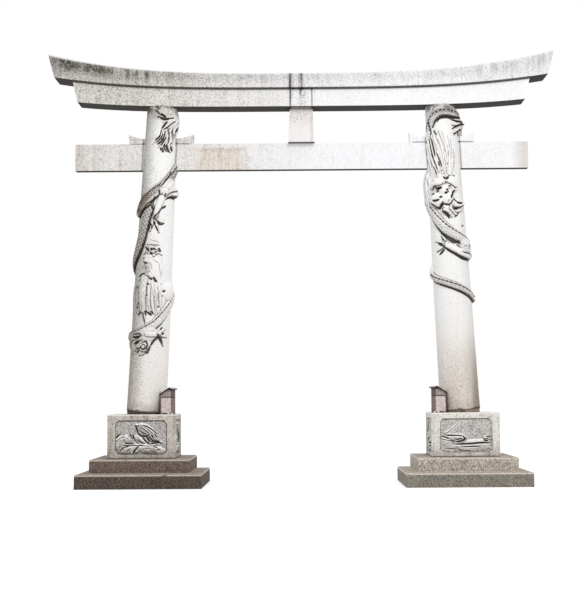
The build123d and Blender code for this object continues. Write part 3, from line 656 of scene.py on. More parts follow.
class Carving:
    # a sheet of stone laid flat: s runs across, z up, both in metres; lift is the height carved, and two
    # more sheets hold its painted shade, with some dirt, and its painted highlights; turn is the whole
    # width of a sheet that closes on itself
    def __init__(self, s, z, turn=None):
        self.s, self.z = s, z
        self.turn = turn
        self.lift, self.shadeAndDirt, self.rub = (np.zeros((len(z), len(s))) for _ in range(3))

    def near(self, path, reach):
        # the parts of the sheet within reach of a path; a closed sheet is tried again a turn to each side
        shifts = (0.0,) if self.turn is None else (-self.turn, 0.0, self.turn)
        low, high = path.min(0) - reach, path.max(0) + reach
        rows = np.nonzero((self.z >= low[1]) & (self.z <= high[1]))[0]
        for shift in shifts:
            columns = np.nonzero((self.s + shift >= low[0]) & (self.s + shift <= high[0]))[0]
            if len(rows) and len(columns):
                yield (slice(rows[0], rows[-1] + 1), slice(columns[0], columns[-1] + 1)), shift

    def along(self, path, area, shift):
        # for each point: distance to the path, metres along it, side (left of travel is positive) and
        # how far it lies under the path, 1 when straight below; the last value is the path's length
        rows, columns = area
        s = self.s[columns][None, :] + shift
        z = self.z[rows][:, None]
        best = np.full((z.shape[0], s.shape[1]), 1e9)
        run, side, under = (np.zeros_like(best) for _ in range(3))
        start = 0.0
        for a, b in zip(path[:-1], path[1:]):
            d = b - a
            length = float(np.hypot(*d)) + 1e-9
            t = np.clip(((s - a[0]) * d[0] + (z - a[1]) * d[1]) / length ** 2, 0.0, 1.0)
            ds, dz = s - a[0] - t * d[0], z - a[1] - t * d[1]
            gap = np.hypot(ds, dz)
            closer = gap < best
            best = np.where(closer, gap, best)
            run = np.where(closer, start + t * length, run)
            side = np.where(closer, np.sign(d[0] * (z - a[1]) - d[1] * (s - a[0])), side)
            under = np.where(closer, -dz / (gap + 1e-6), under)
            start += length
        return best, run, side, under, start

    def body(self, path, widths, rise, fin, finSide, dirt, scale=0.037, net=0.62, dashed=0.0):
        # a coil: lift = rise * sqrt(1 - (distance / half width) squared), covered with pointed scales,
        # scale metres wide, whose seams are as dark as net; a row of spikes follows the line at fin of
        # the half width, with a painted shadow on the side finSide, more broken up as dashed grows; dirt
        # washes the coil but for its belly, and painted shade darkens the coil's lower part and the groove
        # round it, most below it
        path = softened(path)
        wide = max(widths)
        finWidth = strokes["finWidth"]
        for area, shift in self.near(path, wide + strokes["coilMargin"]):
            gap, run, side, under, total = self.along(path, area, shift)
            w = np.interp(run / total, np.linspace(0, 1, len(widths)), widths)
            q = gap / w
            arch = np.sqrt(np.clip(1 - q ** 2, 0, 1))
            dome = rise * (w / wide) ** 0.6 * arch
            across = side * np.arcsin(np.clip(q, 0, 1)) * w / scale
            leaf = np.minimum(np.mod(run / scale + across, 1.0), np.mod(run / scale - across, 1.0))
            seam = np.clip(1 - leaf / strokes["scaleSeam"], 0, 1)
            finAt = np.clip(1 - np.abs(side * gap - fin * w) / finWidth, 0, 1)
            tooth = np.mod(run / strokes["spikePitch"], 1.0)
            spikes = finAt * (0.35 + 0.65 * (1 - tooth))
            scales = strokes["scaleHeight"] * (leaf - 0.45) * arch * (1 - 0.7 * finAt)
            top = dome + scales + strokes["spikeHeight"] * spikes
            old = self.lift[area]
            inside = (q < 1) & (top > old)
            edge = (gap - w) / (0.012 + 0.008 * np.clip(under, 0, 1))
            foot = np.exp(-edge ** 2) * (gap >= w) * (old < dome.max() * 0.8)
            self.lift[area] = np.where(inside, top, old - strokes["coilGroove"] * foot)
            # the spikes' painted shadow, broken into dashes
            toShadow = np.abs(side * gap - (fin * w - finWidth * finSide))
            breaks = (0.60 + 0.26 * dashed) * (tooth < 0.38)
            finShadow = np.clip(1.0 + 0.35 * dashed - toShadow / finWidth, 0, 1) * (1 - breaks)
            belly = np.clip((under * q - 0.25) / 0.2, 0, 1) * np.clip((0.88 - q) / 0.08, 0, 1)
            wiped = belly * (dirt > 0.2)
            netDark = net * seam * arch ** 0.5 * (1 - 0.75 * wiped)
            # painted shade on the coil's lower part, but for its belly
            underShade = 0.45 * np.clip(under * q - 0.5, 0, 1) * 2 * (1 - wiped)
            bodyShadeAndDirt = dirt * (1 - belly) + np.maximum(netDark, finShadow) + underShade
            shade = np.clip(0.55 + 0.6 * under, 0.12, 1)
            self.shadeAndDirt[area] = np.where(inside, bodyShadeAndDirt, np.maximum(self.shadeAndDirt[area], shade * foot))

    def lock(self, path, width, rise, taper, shade):
        # a lock of mane, leg, toe or brow: rise * (1 - (distance / half width) squared) to the power
        # 0.6, narrowing towards its tip by taper, with a groove beside it whose painted shade is darkest
        # below it
        path = softened(path)
        for area, shift in self.near(path, width + strokes["lockMargin"]):
            gap, run, _, under, total = self.along(path, area, shift)
            w = width * (1 - taper * np.clip(run / total, 0, 1) ** 1.4)
            q = gap / w
            ridge = rise * (w / width) ** 0.5 * np.clip(1 - q ** 2, 0, 1) ** 0.6
            foot = np.exp(-((gap - w) / strokes["lockGrooveWidth"]) ** 2) * (gap > w * 0.95)
            foot = foot * np.clip(0.35 + 0.75 * under, 0.08, 1)
            self.lift[area] += ridge - strokes["lockGroove"] * foot
            self.shadeAndDirt[area] = np.maximum(self.shadeAndDirt[area] * np.clip(q ** 2, 0.25, 1), shade * foot)

    def cut(self, path, width, depth, shadeAndDirt):
        # a furrow: depth * e to the minus (distance / width) squared, fading towards both ends, darkened
        # with painted shade
        path = softened(path)
        for area, shift in self.near(path, width * 3):
            gap, run, _, _, total = self.along(path, area, shift)
            ends = np.clip(np.minimum(run, total - run) / (0.3 * total) + 0.45, 0, 1)
            notch = np.exp(-(gap / (width * ends)) ** 2)
            self.lift[area] -= depth * notch * ends
            self.shadeAndDirt[area] = np.maximum(self.shadeAndDirt[area], shadeAndDirt * notch)

    def mass(self, centre, radii, rise, lean, soft):
        # an egg-shaped swelling melted into what is there: rise * (1 - radius squared) to the power 0.6
        for area, shift in self.near(centre[None, :], max(radii) + 0.02):
            s = self.s[area[1]][None, :] + shift - centre[0]
            z = self.z[area[0]][:, None] - centre[1]
            a = (s * math.cos(lean) + z * math.sin(lean)) / radii[0]
            b = (z * math.cos(lean) - s * math.sin(lean)) / radii[1]
            r2 = a ** 2 + b ** 2
            dome = rise * np.clip(1 - r2, 0, 1) ** 0.6
            self.lift[area] = np.where(r2 < 1, melt(self.lift[area], dome, soft), self.lift[area])
            self.shadeAndDirt[area] = np.where(r2 < 0.8, self.shadeAndDirt[area] * 0.3, self.shadeAndDirt[area])

    def hole(self, centre, radius, depth=0.035):
        # a drilled pit: depth * e to the minus (distance / radius) squared, black with painted shade inside
        for area, shift in self.near(centre[None, :], radius * 2.5):
            s = self.s[area[1]][None, :] + shift - centre[0]
            z = self.z[area[0]][:, None] - centre[1]
            pit = np.exp(-((s ** 2 + z ** 2) / radius ** 2))
            self.lift[area] -= depth * pit
            self.shadeAndDirt[area] = np.maximum(self.shadeAndDirt[area], pit)

    def shaded(self, centre, radii, amount):
        # a soft patch of painted shade: amount * e to the minus (distance / half sizes) squared
        a = (self.s[None, :] - centre[0]) / radii[0]
        b = (self.z[:, None] - centre[1]) / radii[1]
        self.shadeAndDirt = np.maximum(self.shadeAndDirt, amount * np.exp(-(a ** 2 + b ** 2)))

    def shadeRelief(self, amount, slope):
        # the carving grows darker where it is hollow, by amount * second difference of the lift; painted
        # shade falls on slopes that look down, by slope * change of lift over height, and slopes that look
        # up get a painted highlight
        h = self.lift
        hollow = np.zeros_like(h)
        around = h[2:, 1:-1] + h[:-2, 1:-1] + h[1:-1, 2:] + h[1:-1, :-2]
        hollow[1:-1, 1:-1] = around - 4 * h[1:-1, 1:-1]
        steep = np.gradient(h, self.z, axis=0) * slope
        self.shadeAndDirt = np.clip(self.shadeAndDirt + np.clip(hollow * amount, 0, 0.35) + np.clip(steep, 0, 0.35), 0, 1)
        self.rub = np.clip(-steep, 0, 1)


pillarForm = {
    "footRadius": 0.285, "taper": 0.00497, "swelling": 0.00222,
    "bedLow": 0.008, "bedHigh": 0.058, "bedFade": 0.25,             # the tilted bed's heights on the plinth
    "topZ": 5.502, "carvedRow": 0.0060, "plainRow": 0.045,          # metres from row to row of points
    "frontHalf": 102.0, "frontStep": 0.0060, "backStep": 0.0100,    # degrees of fine front, metres of step
    "sheetRadius": 0.26,                                            # at which the shaft is unrolled
    "fade": 0.03, "deepest": 0.014,                                 # the carving's lower edge, deepest cut
    # how dark the carving grows in its hollows, and how strong the painted shade and highlights on its
    # slopes are
    "hollowDarkening": 30.0, "slopeShade": 0.12, "melting": 0.03,
}

# width and depth in metres and painted shade of each weight of cut stroke, in the order they are made
pillarCuts = {"fine": (0.0085, 0.008, 0.26), "medium": (0.0100, 0.022, 0.80), "bold": (0.0130, 0.036, 1.25)}

# a path's points are (degrees round the shaft from the front, height in metres); a width or rise is in
# metres; a mass is (middle, half sizes, rise, lean), a hole (degrees, height, radius), a shaded place
# (middle, reach, amount of painted shade)
leftDragon = {
    "carvedFrom": 1.8, "cut": 3.62,
    "coils": [
        {
            "path": [
                (215, 5.02), (150, 4.9), (110, 4.74), (78, 4.58), (47, 4.425), (20, 4.3), (-5, 4.225),
                (-28, 4.135), (-48, 4.06), (-72, 3.95),
            ],
            "widths": (0.02, 0.05, 0.072, 0.074, 0.076, 0.076), "rise": 0.05, "fin": (-0.85, -1),
            "dirt": 0.24,
        },
        {
            "path": [
                (-18, 4.0), (-30, 3.86), (-38, 3.68), (-47, 3.5), (-66, 3.32), (-104, 3.16), (-150, 3.0),
                (-190, 2.88), (-230, 2.8), (-264, 2.72),
            ],
            "widths": (0.064, 0.076, 0.078, 0.08, 0.08, 0.078), "rise": 0.054, "fin": (0.86, -1),
            "dirt": 0.15, "scale": 0.06,
        },
        {
            "path": [
                (96, 2.72), (82, 2.655), (62, 2.57), (42, 2.45), (22, 2.335), (-2, 2.25), (-29, 2.185),
                (-58, 2.16), (-100, 2.12), (-140, 2.05), (-178, 1.93),
            ],
            "widths": (0.074, 0.066, 0.06, 0.062, 0.05, 0.018), "rise": 0.05, "fin": (-0.85, -1),
            "dirt": 0.0, "net": 0.36,
        },
    ],
    "masses": [
        ((58, 5.27), (0.18, 0.22), 0.058, 0.2), ((20, 5.4), (0.2, 0.1), 0.046, 0.15),
        ((34, 5.05), (0.1, 0.19), 0.026, 0.3), ((40, 4.3), (0.15, 0.135), 0.064, 0.5),
        ((78, 4.235), (0.11, 0.085), 0.072, -0.3), ((-12, 3.22), (0.12, 0.12), 0.052, 0.0),
        ((8, 3.12), (0.12, 0.19), 0.044, 0.15), ((-24, 2.8), (0.095, 0.34), 0.05, 0.0),
        ((10, 2.74), (0.17, 0.3), 0.03, 0.1), ((-46, 2.74), (0.08, 0.3), 0.028, -0.1),
        ((60, 2.8), (0.12, 0.15), 0.064, 0.2), ((-2, 2.17), (0.15, 0.11), 0.056, 0.2),
        ((-10, 2.0), (0.1, 0.095), 0.034, 0.0), ((-52, 2.05), (0.1, 0.12), 0.03, 0.3),
    ],
    "locks": [
        {
            "width": 0.019, "rise": 0.02, "taper": 0.6, "shade": 0.5,
            "paths": [
                [(40, 5.26), (20, 5.18), (9, 5.12), (6, 5.04), (-5, 4.99), (-16, 4.96)],
                [(33, 5.18), (17, 5.13), (14, 5.07), (7, 5.0), (-5, 4.94)],
                [(30, 5.15), (22, 5.08), (16, 5.0), (6, 4.94), (-2, 4.89)],
                [(34, 5.12), (28, 5.05), (25, 4.99), (15, 4.92), (10, 4.86), (15, 4.82)],
                [(44, 5.19), (36, 5.12), (40, 5.05), (41, 4.98), (32, 4.92), (36, 4.87), (46, 4.82)],
                [(61, 5.3), (48, 5.2), (48, 5.13), (58, 5.05), (61, 4.98), (49, 4.92), (56, 4.86)],
                [(70, 5.25), (62, 5.1), (68, 5.0)],
            ],
        },
        {
            "width": 0.06, "rise": 0.046, "taper": 0.42, "shade": 0.5,
            "paths": [[(24, 4.23), (16, 4.1), (6, 3.97), (1, 3.86)]],
        },
        {
            "width": 0.03, "rise": 0.032, "taper": 0.75, "shade": 0.7,
            "paths": [
                [(0, 3.84), (-7, 3.77), (-14, 3.66)], [(3, 3.83), (8, 3.74), (16, 3.64)],
                [(4, 3.86), (18, 3.8), (32, 3.78)],
            ],
        },
        {
            "width": 0.017, "rise": 0.02, "taper": 0.7, "shade": 0.4,
            "paths": [
                [(-30, 3.34), (-24, 3.42), (-14, 3.38), (2, 3.35), (14, 3.32)],
                [(-12, 3.34), (-8, 3.43), (6, 3.42), (20, 3.36)],
                [(-20, 3.36), (-17, 3.48), (0, 3.47), (18, 3.46)], [(4, 3.3), (14, 3.36), (30, 3.31)],
            ],
        },
        {
            "width": 0.032, "rise": 0.026, "taper": 0.5, "shade": 0.5,
            "paths": [[(-14, 3.08), (-24, 3.06), (-40, 3.02)], [(-11, 3.04), (-2, 3.0), (8, 2.98)]],
        },
        {
            "width": 0.046, "rise": 0.034, "taper": 0.1, "shade": 0.4,
            "paths": [[(-18, 3.02), (-22, 2.86), (-22, 2.66), (-19, 2.51)]],
        },
        {
            "width": 0.024, "rise": 0.02, "taper": 0.5, "shade": 0.22,
            "paths": [
                [(-6, 2.9), (-4, 2.74), (-4, 2.6), (4, 2.47)],
                [(4, 2.9), (6, 2.74), (6, 2.6), (14, 2.46)],
                [(14, 2.9), (16, 2.74), (18, 2.6), (26, 2.47)],
                [(24, 2.88), (28, 2.72), (30, 2.6), (38, 2.5)],
                [(-36, 2.93), (-42, 2.76), (-34, 2.6), (-38, 2.46)], [(-50, 2.9), (-56, 2.7), (-46, 2.5)],
                [(-66, 2.86), (-72, 2.66), (-60, 2.46)], [(-20, 2.49), (-17, 2.4), (-10, 2.31)],
            ],
        },
        {
            "width": 0.044, "rise": 0.03, "taper": 0.35, "shade": 0.3,
            "paths": [[(0, 2.17), (16, 2.16), (31, 2.17)]],
        },
        {
            "width": 0.025, "rise": 0.034, "taper": 0.75, "shade": 0.8,
            "paths": [
                [(28, 2.18), (40, 2.22), (60, 2.26)], [(30, 2.16), (46, 2.14), (64, 2.13)],
                [(30, 2.15), (38, 2.1), (48, 2.0)],
            ],
        },
        {
            "width": 0.018, "rise": 0.022, "taper": 0.5, "shade": 0.6,
            "paths": [
                [(-24, 1.99), (-15, 2.04), (-6, 2.04), (-2, 1.98), (-9, 1.96)],
                [(-26, 1.98), (-16, 1.93), (-4, 1.93), (3, 1.99)],
                [(-20, 2.1), (-34, 2.09), (-44, 2.0), (-34, 1.92)],
                [(-34, 2.12), (-56, 2.09), (-64, 1.99), (-52, 1.89)],
                [(-6, 1.92), (-16, 1.88), (-26, 1.87)],
            ],
        },
    ],
    "cuts": {
        "bold": [
            [(0, 5.36), (7, 5.36), (20, 5.32)], [(0, 5.32), (19, 5.29), (34, 5.31)],
            [(8, 5.16), (21, 5.24), (26, 5.26)], [(58, 5.11), (63, 5.16), (72, 5.21)],
            [(-14, 4.99), (0, 5.03), (4, 5.07)], [(-4, 4.93), (4, 4.95), (11, 4.98), (16, 5.02)],
            [(18, 4.91), (21, 4.9), (21, 4.87), (27, 4.84)], [(29, 4.93), (28, 4.89), (40, 4.82)],
            [(44, 4.91), (49, 4.87), (56, 4.84)], [(11, 4.87), (19, 4.82)], [(20, 4.93), (20, 4.88)],
            [(-9, 4.06), (-16, 4.03), (-52, 3.94)], [(-10, 4.02), (-7, 3.97)],
            [(35, 4.12), (40, 4.14), (51, 4.16), (65, 4.17), (90, 4.16), (98, 4.13)],
            [(52, 4.15), (66, 4.16), (86, 4.15)], [(20, 3.99), (31, 4.01), (36, 4.03)],
            [(4, 3.89), (0, 3.86), (0, 3.83)], [(-13, 3.78), (-18, 3.67)], [(-1, 3.79), (1, 3.75)],
            [(10, 3.8), (12, 3.77), (23, 3.75)], [(-7, 3.41), (-3, 3.38)], [(1, 3.4), (6, 3.39)],
            [(17, 3.41), (25, 3.36)], [(-8, 3.34), (-1, 3.32)], [(-22, 3.42), (-17, 3.39), (-11, 3.37)],
            [(9, 2.96), (13, 2.93), (17, 2.92)], [(-19, 3.19), (-14, 3.19)], [(-6, 2.48), (6, 2.44)],
            [(-40, 2.58), (-41, 2.54)], [(-37, 2.63), (-35, 2.59)],
            [(-49, 2.13), (-37, 2.12), (-21, 2.14)], [(-31, 2.07), (-36, 2.04), (-40, 2.03)],
            [(37, 2.18), (40, 2.17), (50, 2.18)], [(32, 2.13), (47, 2.03)],
            [(31, 2.13), (23, 2.11), (12, 2.04), (8, 2.0)],
        ],
        "medium": [
            [(-23, 5.43), (-14, 5.42), (0, 5.36)], [(-10, 5.33), (-3, 5.33), (2, 5.32)],
            [(34, 5.31), (47, 5.32)],
            [(13, 5.14), (19, 5.16), (27, 5.17), (33, 5.21), (44, 5.25), (52, 5.27)],
            [(4, 5.07), (7, 5.14)], [(-7, 4.96), (7, 5.01), (11, 5.05), (12, 5.08)],
            [(16, 5.02), (19, 5.07), (19, 5.12)], [(8, 4.91), (15, 4.95), (22, 5.01), (23, 5.04)],
            [(27, 5.16), (33, 5.06), (34, 4.99), (31, 4.94)],
            [(41, 5.16), (43, 5.11), (50, 5.04), (52, 5.0), (49, 4.95), (39, 4.93)],
            [(25, 4.85), (32, 4.82)], [(56, 5.11), (57, 5.06)], [(6, 4.88), (8, 4.84)],
            [(47, 4.53), (40, 4.46), (11, 4.29)], [(-3, 4.16), (-9, 4.06)], [(10, 4.25), (11, 4.19)],
            [(27, 4.2), (28, 4.15)], [(36, 4.17), (46, 4.22), (58, 4.24), (91, 4.27), (95, 4.25)],
            [(20, 3.99), (11, 3.92), (4, 3.89)], [(3, 3.74), (13, 3.66)],
            [(-12, 3.76), (-7, 3.74), (-9, 3.69)], [(23, 3.75), (31, 3.77)], [(-26, 3.22), (-19, 3.19)],
            [(-16, 3.05), (-38, 3.0)], [(-6, 2.98), (-2, 2.96), (3, 2.95)], [(-27, 2.98), (-38, 2.93)],
            [(6, 2.99), (9, 2.96)], [(-13, 2.5), (-6, 2.48)], [(-26, 2.5), (-39, 2.44)],
            [(5, 3.36), (12, 3.35)], [(3, 2.5), (11, 2.46)], [(-12, 2.5), (-12, 2.44)],
            [(-23, 2.5), (-12, 2.32)], [(-37, 2.86), (-43, 2.82)], [(-33, 3.28), (-40, 3.23)],
            [(-45, 2.17), (-34, 2.17), (-25, 2.18), (-17, 2.14)],
            [(-20, 2.03), (-8, 2.07), (-3, 2.05), (0, 2.01)],
            [(-20, 1.98), (-15, 1.95), (-11, 1.94), (-5, 1.99)], [(-2, 2.01), (-2, 1.94)],
            [(-21, 1.97), (-27, 1.94), (-31, 1.93), (-33, 1.89)], [(8, 2.0), (0, 1.9)],
            [(35, 2.23), (44, 2.27)], [(-37, 1.96), (-31, 1.96)], [(-44, 1.92), (-40, 1.94)],
            [(-7, 1.92), (-2, 1.89), (2, 1.91)],
        ],
        "fine": [
            [(39, 5.17), (48, 5.2), (62, 5.27)], [(33, 5.37), (39, 5.37)], [(10, 5.27), (9, 5.24)],
            [(-12, 3.53), (-1, 3.52), (19, 3.49)], [(-7, 3.46), (11, 3.43)],
            [(-14, 3.19), (-8, 3.19), (-4, 3.18), (-1, 3.15), (0, 3.1)],
            [(-25, 3.21), (-12, 3.01), (-6, 2.98)],
            [(3, 3.25), (10, 3.21), (17, 3.2), (21, 3.16), (22, 3.09), (29, 3.03), (30, 2.99)],
            [(-35, 3.17), (-29, 3.11), (-33, 3.05)], [(-1, 2.89), (5, 2.8), (12, 2.58), (17, 2.46)],
            [(12, 2.8), (17, 2.7), (17, 2.61), (22, 2.53)], [(20, 2.77), (23, 2.67), (27, 2.6)],
            [(25, 2.79), (27, 2.69)], [(26, 2.9), (32, 2.88)], [(15, 2.84), (20, 2.81)],
            [(-3, 2.58), (4, 2.5)], [(32, 2.7), (34, 2.6), (41, 2.53)],
            [(3, 2.86), (-1, 2.76), (-1, 2.63), (5, 2.53)],
            [(-36, 2.88), (-37, 2.76), (-30, 2.66), (-31, 2.56)], [(-23, 2.66), (-20, 2.54), (-23, 2.48)],
            [(-12, 2.7), (-12, 2.5)], [(-9, 2.86), (-10, 2.73)], [(2, 2.02), (3, 1.98)],
            [(-17, 1.93), (-10, 1.9)], [(-14, 2.01), (-10, 2.02), (-8, 2.0)],
        ],
    },
    "holes": [
        (-8, 2.887, 0.014), (39, 2.786, 0.015), (24, 2.559, 0.013), (-31, 2.55, 0.012),
        (-19, 3.459, 0.011), (-25, 3.422, 0.013), (-26, 3.265, 0.012), (-10, 2.724, 0.009),
        (36, 2.716, 0.009),
    ],
    "shaded": [
        ((-50, 4.12), (0.085, 0.1), 0.5), ((-58, 3.98), (0.06, 0.06), 0.5),
        ((-16, 3.12), (0.07, 0.1), 0.27), ((4, 3.87), (0.05, 0.05), 0.35),
        ((-4, 3.27), (0.07, 0.05), 0.16), ((-38, 2.74), (0.06, 0.18), 0.14),
        ((-30, 2.72), (0.06, 0.2), 0.12), ((-14, 2.62), (0.025, 0.15), 0.2),
        ((-48, 3.3), (0.05, 0.1), 0.16),
    ],
}

